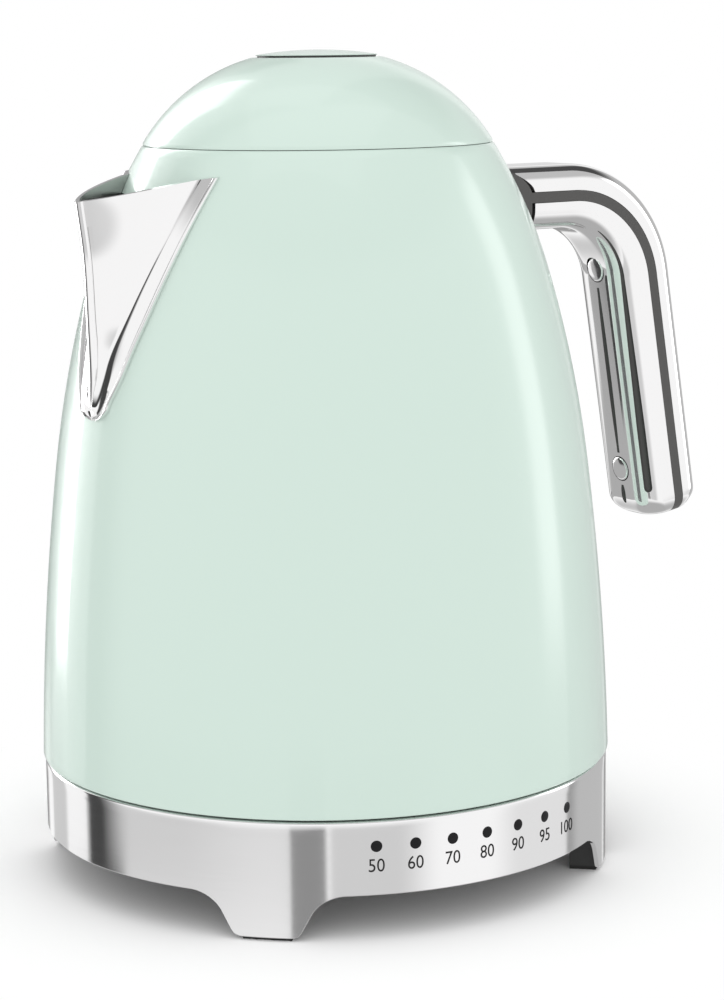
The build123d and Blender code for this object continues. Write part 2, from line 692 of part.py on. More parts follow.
def spout_prism(shrink):
    """Extrude the spout's tulip outline towards -X, drawn in by an amount on every side but the top."""
    top = spout_rim + SPOUT_FLANGE_WIDTH
    turn = (SPOUT_TURN_WIDTH - shrink, spout_turn + shrink / 2)
    waist = (SPOUT_WAIST_WIDTH - shrink, spout_waist)
    upper = (SPOUT_TOP_WIDTH - shrink, spout_rim)
    with BuildSketch(Plane(origin=(0, 0, 0), x_dir=(0, -1, 0), z_dir=(-1, 0, 0))) as outline:
        with BuildLine():
            for side in (1, -1):
                ThreePointArc(
                    (side * turn[0], turn[1]),
                    (side * waist[0], waist[1]),
                    (side * upper[0], upper[1]),
                )
                Line((side * upper[0], upper[1]), (side * upper[0], top))
            ThreePointArc((-turn[0], turn[1]), (0, spout_bottom + shrink), (turn[0], turn[1]))
            Line((-upper[0], top), (upper[0], top))
        make_face()
    extrude(outline.sketch, amount=2 * spout_reach)


def spout_channel(inset):
    """Loft the V of the spout through its levels, drawn in by the sheet's thickness or by nothing."""
    levels = []
    for drop, span, half_width in SPOUT_LEVELS:
        height = SEAM_HEIGHT - drop
        reach = mouth_radius + span
        root = math.sqrt(wall_radius(JUG, height) ** 2 - half_width**2)
        half_angle = math.atan2(half_width, reach - root)
        vertex = reach + SPOUT_NOSE * (1 / math.sin(half_angle) - 1) - inset / math.sin(half_angle)
        back = root / 2
        back_half = (vertex - back) * math.tan(half_angle)
        with BuildSketch(Plane.XY.offset(height)) as level:
            with BuildLine():
                Polyline((-vertex, 0), (-back, -back_half), (-back, back_half), close=True)
            triangle = make_face()
            nose = triangle.vertices().sort_by(Axis.X)[0:1]
            fillet(nose, radius=SPOUT_NOSE - inset)
        levels.append(level.sketch)
    loft(levels, ruled=True)


# Solids that only shape others: the jug's whole outside and the spout's channel
with BuildPart() as jug_outside:
    wall_solid(JUG, -SEAT_GAP, JUG_BOTTOM, shell_edge)

with BuildPart() as channel_inside:
    spout_channel(SPOUT_SHEET)

with BuildPart() as spout_hole:
    spout_prism(SPOUT_FLANGE_WIDTH + SPOUT_SHEET)
    add(channel_inside.part, mode=Mode.INTERSECT)

# Spout: flange on the jug wall and a folded V channel, cut off at a rim that rises towards the jug
with BuildPart() as channel_outside:
    spout_channel(0)

with BuildPart() as spout_flange:
    wall_ring(JUG, -SEAT_GAP - SPOUT_FLANGE_THICK, -SEAT_GAP, spout_bottom, shell_edge)

with BuildPart() as flange_blank:
    spout_prism(0)
    add(spout_flange.part, mode=Mode.INTERSECT)

with BuildPart() as spout:
    spout_prism(SPOUT_SHEET)
    add(channel_outside.part, mode=Mode.INTERSECT)
    add(jug_outside.part, mode=Mode.SUBTRACT)
    add(flange_blank.part)
    add(spout_hole.part, mode=Mode.SUBTRACT)
    rim_run = spout_reach - wall_radius(JUG, spout_rim)
    rim_rise = spout_rim - spout_tip
    rim_plane = Plane(
        origin=(-spout_reach, 0, spout_tip),
        x_dir=(rim_run, 0, rim_rise),
        z_dir=(-rim_rise, 0, rim_run),
    )
    split(bisect_by=rim_plane, keep=Keep.BOTTOM)
save(spout, "spout")


def gauge_slot(grow):
    """Make the gauge's upright slot seen along X, widened by an amount all round."""
    with BuildSketch(Plane.YZ) as slot:
        with Locations((0, (gauge_low + gauge_high) / 2)):
            SlotOverall(gauge_high - gauge_low + 2 * grow, GAUGE_WIDTH + 2 * grow, rotation=90)
    extrude(slot.sketch, amount=jug_radius + BAND_WALL)


def mount_plane(side):
    """Return the plane of a handle mount screw, on the wall's outer face and square to it."""
    lean = wall_lean(JUG, mount_screw_height)
    reach = wall_radius(JUG, mount_screw_height)
    turn = side * math.asin(MOUNT_SCREW_SPREAD / reach)
    outward = Vector(math.cos(turn), math.sin(turn), 0)
    return Plane(
        origin=outward * reach + Vector(0, 0, mount_screw_height),
        x_dir=(-math.sin(turn), math.cos(turn), 0),
        z_dir=outward * math.cos(lean) + Vector(0, 0, math.sin(lean)),
    )


def mount_bars(radius, inner, outer, mode=Mode.ADD):
    """Make the two round bars of the handle mount screws, between two depths of the wall."""
    for side in (1, -1):
        with BuildSketch(mount_plane(side).offset(inner)) as section:
            Circle(radius)
        extrude(section.sketch, amount=outer - inner, mode=mode)


# Jug shell: painted steel wall with the openings of the spout, the gauge and the handle's screws
with BuildPart() as gauge_opening:
    gauge_slot(GASKET_WIDTH + SEAT_GAP)

with BuildPart() as jug_shell:
    wall_ring(JUG, 0, JUG_WALL, JUG_BOTTOM, shell_edge)
    add(spout_hole.part, mode=Mode.SUBTRACT)
    add(gauge_opening.part, mode=Mode.SUBTRACT)
    mount_bars(MOUNT_SCREW_RADIUS + SEAT_GAP, -MOUNT_SCREW_LENGTH, MOUNT_SCREW_LENGTH, Mode.SUBTRACT)
save(jug_shell, "jug_shell")

# Gauge window and its gasket
with BuildPart() as gauge_blank:
    gauge_slot(0)

with BuildPart() as gauge_window:
    wall_ring(JUG, -GAUGE_PROUD, JUG_WALL, gauge_low - GAUGE_WIDTH, gauge_high + GAUGE_WIDTH)
    add(gauge_blank.part, mode=Mode.INTERSECT)
save(gauge_window, "gauge_window")

with BuildPart() as gasket_inside:
    gauge_slot(SEAT_GAP)

with BuildPart() as gasket_blank:
    gauge_slot(GASKET_WIDTH)
    add(gasket_inside.part, mode=Mode.SUBTRACT)

with BuildPart() as gauge_gasket:
    wall_ring(JUG, -GAUGE_PROUD, JUG_WALL, gauge_low - GAUGE_WIDTH, gauge_high + GAUGE_WIDTH)
    add(gasket_blank.part, mode=Mode.INTERSECT)
save(gauge_gasket, "gauge_gasket")

# Neck collar: plastic ring inside the mouth, with a notch at the front for the latch
nose_reach = neck_radius + LATCH_NOSE
with BuildPart() as neck_collar:
    with BuildSketch(Plane.XZ):
        with BuildLine():
            collar_inset = JUG_WALL + SEAT_GAP
            wall_curve(JUG, collar_inset, neck_under, neck_top)
            Polyline(
                (wall_radius(JUG, neck_top, collar_inset), neck_top),
                (neck_radius, neck_top),
                (neck_radius, neck_under),
                (wall_radius(JUG, neck_under, collar_inset), neck_under),
            )
        make_face()
    revolve(axis=Axis.Z)
    with BuildSketch(Plane.XY.offset(latch_low - LATCH_ROOM)):
        with Locations((-nose_reach - LATCH_ROOM, 0)):
            Rectangle(neck_radius / 2, LATCH_WIDTH + 2 * LATCH_ROOM, align=(Align.MIN, Align.CENTER))
    extrude(amount=neck_top - latch_low + LATCH_ROOM, mode=Mode.SUBTRACT)
save(neck_collar, "neck_collar")


def filter_reach(height, half_width):
    """Return how far the filter's face may reach at a height, for its half width there."""
    inside = wall_radius(JUG, height, JUG_WALL) - FILTER_WALL_GAP
    return math.sqrt(inside**2 - half_width**2)


# Filter: framed mesh that leans along the wall behind the spout, under the neck collar
filter_top = neck_under - RUN_GAP
top_reach = filter_reach(filter_top, FILTER_TOP_WIDTH)
foot_reach = filter_reach(filter_foot, FILTER_FOOT_WIDTH)
filter_rise = filter_top - filter_foot
filter_slope = math.hypot(foot_reach - top_reach, filter_rise)
filter_plane = Plane(
    origin=(-foot_reach, 0, filter_foot),
    x_dir=(0, 1, 0),
    z_dir=(filter_rise, 0, top_reach - foot_reach),
)


def filter_face(inset):
    """Make the filter's tapered outline, drawn in by the width of its rim or by nothing."""
    with BuildLine() as outline:
        Polyline(
            (-FILTER_FOOT_WIDTH + inset, inset),
            (FILTER_FOOT_WIDTH - inset, inset),
            (FILTER_TOP_WIDTH - inset, filter_slope - inset),
            (-FILTER_TOP_WIDTH + inset, filter_slope - inset),
            close=True,
        )
    make_face(outline.edges())


with BuildPart() as filter_frame:
    with BuildSketch(filter_plane):
        filter_face(0)
    extrude(amount=FILTER_THICK)
    with BuildSketch(filter_plane):
        filter_face(FILTER_RIM)
    extrude(amount=FILTER_THICK, mode=Mode.SUBTRACT)
    with BuildSketch(Plane.XY.offset(filter_top)):
        Rectangle(4 * jug_radius, 4 * jug_radius)
    extrude(amount=FILTER_THICK, mode=Mode.SUBTRACT)
save(filter_frame, "filter_frame")

mesh_rows = int((filter_slope - 2 * FILTER_RIM) / MESH_PITCH) - 1
with BuildPart() as filter_mesh:
    with BuildSketch(filter_plane.offset((FILTER_THICK - MESH_THICK) / 2)):
        filter_face(FILTER_RIM + SEAT_GAP)
        for row in range(mesh_rows):
            along = FILTER_RIM + MESH_PITCH * (row + 1)
            half = FILTER_FOOT_WIDTH + (FILTER_TOP_WIDTH - FILTER_FOOT_WIDTH) * along / filter_slope
            count = int((2 * half - 2 * FILTER_RIM - MESH_PITCH) / MESH_PITCH)
            if count > 0:
                with Locations((0, along)):
                    with GridLocations(MESH_PITCH, MESH_PITCH, count, 1):
                        Rectangle(MESH_HOLE, MESH_HOLE, mode=Mode.SUBTRACT)
    extrude(amount=MESH_THICK)
save(filter_mesh, "filter_mesh")

# Handle geometry in its own plane, X outwards and Z upwards
lean_sin = math.sin(math.radians(HANDLE_LEAN))
lean_cos = math.cos(math.radians(HANDLE_LEAN))
bend_run = HANDLE_BEND * math.tan(math.radians(45 - HANDLE_LEAN / 2))
bend_centre = (handle_corner_reach - bend_run, handle_height - HANDLE_BEND)


def grip_point(along, depth):
    """Return a point beside the grip: along it from the corner, and outwards from the parting strip."""
    return (
        handle_corner_reach + along * lean_sin + depth * lean_cos,
        handle_height - along * lean_cos + depth * lean_sin,
    )


def handle_corner(top_depth, grip_depth):
    """Return the corner of a line over the top run and a line along the grip, at their own depths."""
    along = (grip_depth * lean_sin - top_depth) / lean_cos
    return grip_point(along, grip_depth)


def strip_line(depth):
    """Draw the line parallel to the parting strip, from inside the jug to the end of the grip."""
    reach = HANDLE_BEND + depth
    turn = math.radians(HANDLE_LEAN)
    middle = (math.pi / 2 + turn) / 2
    bend_end = (bend_centre[0] + reach * math.cos(turn), bend_centre[1] + reach * math.sin(turn))
    bend_middle = (bend_centre[0] + reach * math.cos(middle), bend_centre[1] + reach * math.sin(middle))
    bend_start = (bend_centre[0], bend_centre[1] + reach)
    Line((0, handle_height + depth), bend_start)
    ThreePointArc(bend_start, bend_middle, bend_end)
    Line(bend_end, grip_point(2 * HANDLE_LENGTH, depth))


def handle_solid(inset):
    """Make the rounded hook of the whole handle, drawn in by a wall's thickness or by nothing."""
    outer = HANDLE_OUTER_DEPTH - inset
    top_inner = HANDLE_TOP_INNER_DEPTH - inset
    grip_inner = HANDLE_GRIP_INNER_DEPTH - inset
    length = HANDLE_LENGTH - inset
    corner_out = handle_corner(outer, outer)
    corner_in = handle_corner(-top_inner, -grip_inner)
    ends = (grip_point(length, outer), grip_point(length, -grip_inner))
    start = wall_radius(JUG, handle_height) / 2
    with BuildSketch(Plane.XZ.offset(inset - HANDLE_WIDTH / 2)) as outline:
        with BuildLine():
            Polyline(
                (start, handle_height + outer),
                corner_out,
                ends[0],
                ends[1],
                corner_in,
                (start, handle_height - top_inner),
                close=True,
            )
        make_face()
        corners = {
            corner_out: HANDLE_BEND + outer,
            corner_in: HANDLE_INNER_BEND + inset,
            ends[0]: HANDLE_END_ROUND - inset,
            ends[1]: HANDLE_END_ROUND - inset,
        }
        for corner, radius in corners.items():
            fillet(outline.vertices().sort_by_distance((*corner, 0))[0:1], radius=radius)
    hook = extrude(outline.sketch, amount=HANDLE_WIDTH - 2 * inset)
    rims = hook.faces().filter_by(Axis.Y).edges().filter_by(lambda edge: edge.center().X > start + inset)
    fillet(rims, radius=HANDLE_ROUND - inset)


def handle_region(depths):
    """Extrude the space between two lines parallel to the parting strip across the handle's whole width."""
    with BuildSketch(Plane.XZ.offset(-HANDLE_WIDTH)) as region:
        with BuildLine():
            for depth in depths:
                strip_line(depth)
            Line((0, handle_height + depths[0]), (0, handle_height + depths[1]))
            Line(grip_point(2 * HANDLE_LENGTH, depths[0]), grip_point(2 * HANDLE_LENGTH, depths[1]))
        make_face()
    extrude(region.sketch, amount=2 * HANDLE_WIDTH)


def root_region(grow):
    """Extrude the space of the root collar: square below the strip, swept back to the jug above it."""
    low = handle_height - 2 * HANDLE_TOP_INNER_DEPTH
    high = handle_height + 2 * HANDLE_OUTER_DEPTH
    strip_top = handle_height + STRIP_WIDTH / 2
    crest = handle_height + HANDLE_OUTER_DEPTH
    crest_reach = wall_radius(JUG, crest) + ROOT_CREST + grow
    reach = root_reach + grow
    with BuildSketch(Plane.XZ.offset(-HANDLE_WIDTH)) as region:
        with BuildLine():
            Polyline((0, high), (0, low), (reach, low), (reach, strip_top))
            sweep_middle = ((reach * 3 + crest_reach) / 4, (strip_top + crest) / 2)
            ThreePointArc((reach, strip_top), sweep_middle, (crest_reach, crest))
            Polyline((crest_reach, crest), (crest_reach, high), (0, high))
        make_face()
    extrude(region.sketch, amount=2 * HANDLE_WIDTH)


def grip_bar(along, radius, inner, outer, mode=Mode.ADD):
    """Make a round bar square to the grip, between two depths from the parting strip."""
    spot = grip_point(along, inner)
    plane = Plane(origin=(spot[0], 0, spot[1]), x_dir=(0, 1, 0), z_dir=(lean_cos, 0, lean_sin))
    with BuildSketch(plane) as section:
        Circle(radius)
    extrude(section.sketch, amount=outer - inner, mode=mode)


with BuildPart() as handle_blank:
    handle_solid(0)
    add(jug_outside.part, mode=Mode.SUBTRACT)

with BuildPart() as handle_hollow:
    handle_solid(HANDLE_WALL)

with BuildPart() as root_space:
    root_region(0)

with BuildPart() as root_clearance:
    root_region(SEAT_GAP)

with BuildPart() as strip_space:
    handle_region((-STRIP_WIDTH / 2, STRIP_WIDTH / 2))

with BuildPart() as core_space:
    add(root_space.part)
    add(strip_space.part)

# Handle core: dark plastic strip with the root collar, two screw bosses and the mount screws' holes
boss_depth = HANDLE_GRIP_INNER_DEPTH - HANDLE_WALL - SEAT_GAP
head_depth = boss_depth - HANDLE_SCREW_HEAD
with BuildPart() as handle_core:
    add(handle_blank.part)
    add(core_space.part, mode=Mode.INTERSECT)
    for along in plug_places:
        grip_bar(along, HANDLE_BOSS_RADIUS, -boss_depth, 0)
        grip_bar(along, HANDLE_SCREW_RADIUS + PIN_GAP, -boss_depth, HANDLE_OUTER_DEPTH, Mode.SUBTRACT)
        grip_bar(along, HANDLE_SCREW_HEAD + SEAT_GAP, -boss_depth, -head_depth, Mode.SUBTRACT)
    mount_bars(MOUNT_SCREW_RADIUS + PIN_GAP, -JUG_WALL, MOUNT_SCREW_LENGTH + JUG_WALL, Mode.SUBTRACT)
save(handle_core, "handle_core")

# Handle outer shell: chromed, with two posts that take the handle screws
shell_low = STRIP_WIDTH / 2 + SEAT_GAP
with BuildPart() as outer_space:
    handle_region((shell_low, HANDLE_BEND))

with BuildPart() as handle_outer_shell:
    add(handle_blank.part)
    add(handle_hollow.part, mode=Mode.SUBTRACT)
    add(outer_space.part, mode=Mode.INTERSECT)
    add(root_clearance.part, mode=Mode.SUBTRACT)
    for along in plug_places:
        post_low = shell_low + STRIP_WIDTH / 4
        grip_bar(along, HANDLE_BOSS_RADIUS, post_low, HANDLE_OUTER_DEPTH - HANDLE_WALL / 2)
        screw_hole = HANDLE_SCREW_RADIUS + PIN_GAP
        grip_bar(along, screw_hole, post_low, HANDLE_OUTER_DEPTH - HANDLE_WALL, Mode.SUBTRACT)
save(handle_outer_shell, "handle_outer_shell")

# Handle inner shell: chromed, with a hole for each plug
with BuildPart() as inner_space:
    handle_region((-HANDLE_BEND + SEAT_GAP, -shell_low))

with BuildPart() as handle_inner_shell:
    add(handle_blank.part)
    add(handle_hollow.part, mode=Mode.SUBTRACT)
    add(inner_space.part, mode=Mode.INTERSECT)
    add(root_clearance.part, mode=Mode.SUBTRACT)
    for along in plug_places:
        grip_bar(along, PLUG_RADIUS + SEAT_GAP, -HANDLE_BEND, -boss_depth, Mode.SUBTRACT)
save(handle_inner_shell, "handle_inner_shell")

# Handle plugs and the screws under them
with BuildPart() as handle_plugs:
    for along in plug_places:
        grip_bar(along, PLUG_RADIUS, -HANDLE_GRIP_INNER_DEPTH, -boss_depth)
save(handle_plugs, "handle_plugs")

with BuildPart() as handle_screws:
    for along in plug_places:
        grip_bar(along, HANDLE_SCREW_HEAD, -boss_depth, -head_depth)
        grip_bar(along, HANDLE_SCREW_RADIUS, -head_depth, HANDLE_OUTER_DEPTH - HANDLE_WALL - SEAT_GAP)
save(handle_screws, "handle_screws")

# Handle mount screws: from inside the jug, square to its wall, into the root collar
with BuildPart() as handle_mount_screws:
    head_face = -JUG_WALL - RUN_GAP
    mount_bars(MOUNT_SCREW_HEAD_RADIUS, head_face - MOUNT_SCREW_HEAD_THICK, head_face)
    mount_bars(MOUNT_SCREW_RADIUS, head_face, MOUNT_SCREW_LENGTH)
save(handle_mount_screws, "handle_mount_screws")

# Hinge block: behind the lid on the jug's shoulder, two ears that carry the pin
hinge_spot = (hinge_reach, hinge_height)
block_back = hinge_reach + HINGE_BARREL_RADIUS
block_low = handle_height + HANDLE_OUTER_DEPTH + SEAT_GAP
with BuildPart() as hinge_block:
    with BuildSketch(Plane.XZ.offset(-HINGE_HALF_WIDTH)):
        with Locations(hinge_spot):
            Circle(HINGE_BARREL_RADIUS)
        with BuildLine():
            Polyline(
                (block_back, hinge_height),
                (block_back, block_low),
                (hinge_reach / 2, block_low),
                (hinge_reach - HINGE_BARREL_RADIUS, hinge_height),
                close=True,
            )
        make_face()
    extrude(amount=2 * HINGE_HALF_WIDTH)
    slot_half = HINGE_ARM_HALF_WIDTH + RUN_GAP
    with BuildSketch(Plane.XZ.offset(-slot_half)):
        with Locations(hinge_spot):
            Circle(HINGE_BARREL_RADIUS + RUN_GAP)
            Rectangle(2 * block_back, 2 * block_back, align=(Align.CENTER, Align.MIN))
    extrude(amount=2 * slot_half, mode=Mode.SUBTRACT)
    with BuildSketch(Plane.XZ.offset(-HINGE_HALF_WIDTH)):
        with Locations(hinge_spot):
            Circle(HINGE_PIN_RADIUS + PIN_GAP / 2)
    extrude(amount=2 * HINGE_HALF_WIDTH, mode=Mode.SUBTRACT)
    add(jug_outside.part, mode=Mode.SUBTRACT)
save(hinge_block, "hinge_block")

with BuildPart() as hinge_pin:
    with BuildSketch(Plane.XZ.offset(-HINGE_HALF_WIDTH)):
        with Locations(hinge_spot):
            Circle(HINGE_PIN_RADIUS)
    extrude(amount=2 * HINGE_HALF_WIDTH)
save(hinge_pin, "hinge_pin")

# Lid shell: painted dome with a drawn collar round the button hole and a slot for the hinge arm
LID = arc_chain(mouth_radius, lid_edge, LID_START_LEAN, (lid_arc_radius,), (90.0,))
hole_height = LID[0][1] + math.sqrt(lid_arc_radius**2 - (BUTTON_HOLE_RADIUS - LID[0][0]) ** 2)
inner_reach = lid_arc_radius - LID_WALL
collar_outer = BUTTON_HOLE_RADIUS + LID_WALL
collar_height = LID[0][1] + math.sqrt(inner_reach**2 - (collar_outer - LID[0][0]) ** 2)
with BuildPart() as lid_shell:
    with BuildSketch(Plane.XZ):
        with BuildLine():
            wall_curve(LID, 0, lid_edge, hole_height)
            wall_curve(LID, LID_WALL, lid_edge, collar_height)
            Polyline(
                (BUTTON_HOLE_RADIUS, hole_height),
                (BUTTON_HOLE_RADIUS, hole_height - LID_COLLAR_DEPTH),
                (collar_outer, hole_height - LID_COLLAR_DEPTH),
                (collar_outer, collar_height),
            )
            Line((mouth_radius, lid_edge), (wall_radius(LID, lid_edge, LID_WALL), lid_edge))
        make_face()
    revolve(axis=Axis.Z)
    slot_start = wall_radius(LID, arm_top + SEAT_GAP, LID_WALL) - LID_WALL
    slot_size = (mouth_radius + LID_WALL - slot_start, 2 * (HINGE_ARM_HALF_WIDTH + SEAT_GAP))
    with BuildSketch(Plane.XY.offset(lid_edge)):
        with Locations((slot_start, 0)):
            Rectangle(*slot_size, align=(Align.MIN, Align.CENTER))
    extrude(amount=arm_top + SEAT_GAP - lid_edge, mode=Mode.SUBTRACT)
save(lid_shell, "lid_shell")

# Lid liner: flange inside the dome's edge, a plug cup into the neck, and the well that guides the latch
liner_radius = wall_radius(LID, liner_top, LID_WALL) - SEAT_GAP
well_outer = WELL_RADIUS + LINER_THICK
stop_face = LATCH_TAIL + LATCH_SPRING_LENGTH
with BuildPart() as lid_liner:
    ring(liner_radius, liner_plug_radius - LINER_THICK, lid_edge, liner_top)
    ring(liner_plug_radius, liner_plug_radius - LINER_THICK, plug_floor, lid_edge)
    ring(liner_plug_radius, 0, plug_floor, plug_floor + LINER_THICK)
    ring(well_outer, WELL_RADIUS, plug_floor, well_top)
    ring(WELL_RADIUS, 0, plug_floor, plug_floor + LINER_THICK, Mode.SUBTRACT)
    ring(well_outer, 0, well_bottom, well_bottom + LINER_THICK)
    ring(well_outer, WELL_RADIUS, well_bottom, plug_floor)
    with BuildSketch(Plane.XY.offset(latch_low)):
        slot_width = LATCH_WIDTH + 2 * RUN_GAP
        Rectangle(2 * LATCH_TAIL, slot_width)
        with Locations((-liner_plug_radius, 0)):
            Rectangle(3 * LINER_THICK, slot_width)
    extrude(amount=LATCH_THICK + RUN_GAP, mode=Mode.SUBTRACT)
    with BuildSketch(Plane.XY.offset(latch_low)):
        with Locations((stop_face + LATCH_STOP_THICK / 2, 0)):
            Rectangle(LATCH_STOP_THICK, LATCH_WIDTH)
    extrude(amount=LATCH_THICK)
save(lid_liner, "lid_liner")

# Lid seal: flat ring under the liner's flange that closes on the neck collar
seal_inner = liner_plug_radius + SEAT_GAP
with BuildPart() as lid_seal:
    ring(seal_inner + SEAL_WIDTH, seal_inner, neck_top, lid_edge)
save(lid_seal, "lid_seal")

# Hinge arm: steel arm on the liner, through the dome's slot, with a knuckle on the pin
with BuildPart() as hinge_arm:
    with BuildSketch(Plane.XZ.offset(-HINGE_ARM_HALF_WIDTH)):
        with BuildLine():
            Polyline(
                (hinge_arm_end, liner_top),
                (hinge_reach - HINGE_BARREL_RADIUS, liner_top),
                hinge_spot,
                (hinge_reach + HINGE_BARREL_RADIUS / 2, hinge_height + HINGE_BARREL_RADIUS / 2),
                (hinge_reach - HINGE_PIN_RADIUS, arm_top),
                (hinge_arm_end, arm_top),
                close=True,
            )
        make_face()
        with Locations(hinge_spot):
            Circle(HINGE_BARREL_RADIUS)
            Circle(HINGE_PIN_RADIUS + PIN_GAP, mode=Mode.SUBTRACT)
    extrude(amount=2 * HINGE_ARM_HALF_WIDTH)
    with BuildSketch(Plane.XY.offset(liner_top)):
        with Locations(*[(hinge_arm_end + place, 0) for place in ARM_SCREW_PLACES]):
            Circle(ARM_SCREW_RADIUS + SEAT_GAP)
    extrude(amount=HINGE_ARM_THICK, mode=Mode.SUBTRACT)
save(hinge_arm, "hinge_arm")

with BuildPart() as hinge_arm_screws:
    with BuildSketch(Plane.XY.offset(liner_top)):
        with Locations(*[(hinge_arm_end + place, 0) for place in ARM_SCREW_PLACES]):
            Circle(ARM_SCREW_RADIUS)
    extrude(amount=HINGE_ARM_THICK)
    with BuildSketch(Plane.XY.offset(arm_top)):
        with Locations(*[(hinge_arm_end + place, 0) for place in ARM_SCREW_PLACES]):
            Circle(ARM_SCREW_HEAD)
    extrude(amount=ARM_SCREW_HEAD_THICK)
save(hinge_arm_screws, "hinge_arm_screws")

# Lid button: crowned cap in the dome's collar, with a stem that ends in a wedge
cap_radius = BUTTON_HOLE_RADIUS - RUN_GAP
cap_under = hole_height - LID_BUTTON_WALL
wedge_top = latch_high + LID_BUTTON_TRAVEL + RUN_GAP


def wedge_face(height):
    """Return where the wedge's sloping face stands at a height, with the button up."""
    return WEDGE_FACE + height - latch_low


with BuildPart() as lid_button:
    with BuildSketch(Plane.XZ):
        with BuildLine():
            crown = hole_height + LID_BUTTON_CROWN
            skirt_low = hole_height - LID_BUTTON_SKIRT
            skirt_inner = cap_radius - LID_BUTTON_WALL
            quarter = hole_height + LID_BUTTON_CROWN * 3 / 4
            ThreePointArc((0, crown), (cap_radius / 2, quarter), (cap_radius, hole_height))
            Polyline(
                (cap_radius, hole_height),
                (cap_radius, skirt_low),
                (skirt_inner, skirt_low),
                (skirt_inner, cap_under),
                (LID_STEM_RADIUS, cap_under),
                (LID_STEM_RADIUS, wedge_top),
                (0, wedge_top),
                (0, crown),
            )
        make_face()
    revolve(axis=Axis.Z)
    with BuildSketch(Plane.XZ.offset(-WEDGE_HALF_WIDTH)):
        with BuildLine():
            Polyline(
                (-WEDGE_BACK, wedge_top),
                (-WEDGE_BACK, wedge_low),
                (wedge_face(wedge_low), wedge_low),
                (wedge_face(wedge_top), wedge_top),
                close=True,
            )
        make_face()
    extrude(amount=2 * WEDGE_HALF_WIDTH)
save(lid_button, "lid_button")

# Button spring round the stem, between the well's top and the cap
spring_middle = (WELL_RADIUS + well_outer) / 2
with BuildPart() as button_spring:
    ring(spring_middle + SPRING_WIRE / 2, spring_middle - SPRING_WIRE / 2, well_top, cap_under)
save(button_spring, "button_spring")

# Latch: slider on the plug's floor, with a sloping window round the wedge and a nose at the front
window_gap = RUN_GAP * math.sqrt(2)
window_back = -WEDGE_BACK - LID_BUTTON_TRAVEL - RUN_GAP
with BuildPart() as lid_latch:
    with BuildSketch(Plane.XY.offset(latch_low)):
        with Locations((-nose_reach, 0)):
            Rectangle(nose_reach + LATCH_TAIL, LATCH_WIDTH, align=(Align.MIN, Align.CENTER))
    extrude(amount=LATCH_THICK)
    latch_window = WEDGE_HALF_WIDTH + RUN_GAP
    with BuildSketch(Plane.XZ.offset(-latch_window)):
        with BuildLine():
            Polyline(
                (window_back, latch_low),
                (wedge_face(latch_low) + window_gap, latch_low),
                (wedge_face(latch_high) + window_gap, latch_high),
                (window_back, latch_high),
                close=True,
            )
        make_face()
    extrude(amount=2 * latch_window, mode=Mode.SUBTRACT)
save(lid_latch, "lid_latch")

# Latch spring between the latch's tail and the stop on the liner
with BuildPart() as latch_spring:
    spring_height = (latch_low + latch_high) / 2
    with BuildSketch(Plane.YZ.offset(LATCH_TAIL)):
        with Locations((0, spring_height)):
            Circle(LATCH_SPRING_RADIUS)
            Circle(LATCH_SPRING_RADIUS - SPRING_WIRE / 2, mode=Mode.SUBTRACT)
    extrude(amount=LATCH_SPRING_LENGTH)
save(latch_spring, "latch_spring")
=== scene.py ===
import math

import bmesh
import bpy
from mathutils import Matrix, Vector


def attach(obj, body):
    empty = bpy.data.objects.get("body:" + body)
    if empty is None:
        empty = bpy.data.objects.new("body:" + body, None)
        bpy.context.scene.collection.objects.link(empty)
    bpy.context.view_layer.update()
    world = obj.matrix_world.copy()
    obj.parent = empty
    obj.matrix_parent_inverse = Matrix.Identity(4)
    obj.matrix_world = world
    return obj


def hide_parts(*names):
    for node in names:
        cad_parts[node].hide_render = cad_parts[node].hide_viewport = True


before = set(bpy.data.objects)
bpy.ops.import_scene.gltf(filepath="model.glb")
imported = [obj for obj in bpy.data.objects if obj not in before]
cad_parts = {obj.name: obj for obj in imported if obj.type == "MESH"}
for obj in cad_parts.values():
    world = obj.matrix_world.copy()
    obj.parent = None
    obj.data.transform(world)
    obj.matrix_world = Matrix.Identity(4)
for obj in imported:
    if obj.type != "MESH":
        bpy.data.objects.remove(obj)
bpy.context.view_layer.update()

# Studio: the kettle stands on a white table before white, seen from its spout side and a little
# above. A soft lamp overhead does most of the work. The white around it has dark gaps and three
# bright strips, as a studio has, which only the glossy enamel and the polished metal show.
MM = 0.001
scene = bpy.context.scene
scene.view_settings.view_transform = "Standard"


def put(name, data):
    """Put a new object into the scene."""
    made = bpy.data.objects.new(name, data)
    scene.collection.objects.link(made)
    return made


camera_place = (-0.42492, -0.66704, 0.2485)
camera_way = (0.54151, 0.82268, -0.17332)
camera_tilt = -0.0113
lens = bpy.data.cameras.new("camera")
lens.sensor_fit = "VERTICAL"
lens.sensor_height = 36.0
lens.lens = 96.0
camera = put("camera", lens)
camera_look = Vector(camera_way).to_track_quat("-Z", "Y").to_matrix().to_4x4()
camera_roll = Matrix.Rotation(camera_tilt, 4, "Z")
camera.matrix_world = Matrix.Translation(camera_place) @ camera_look @ camera_roll
scene.camera = camera


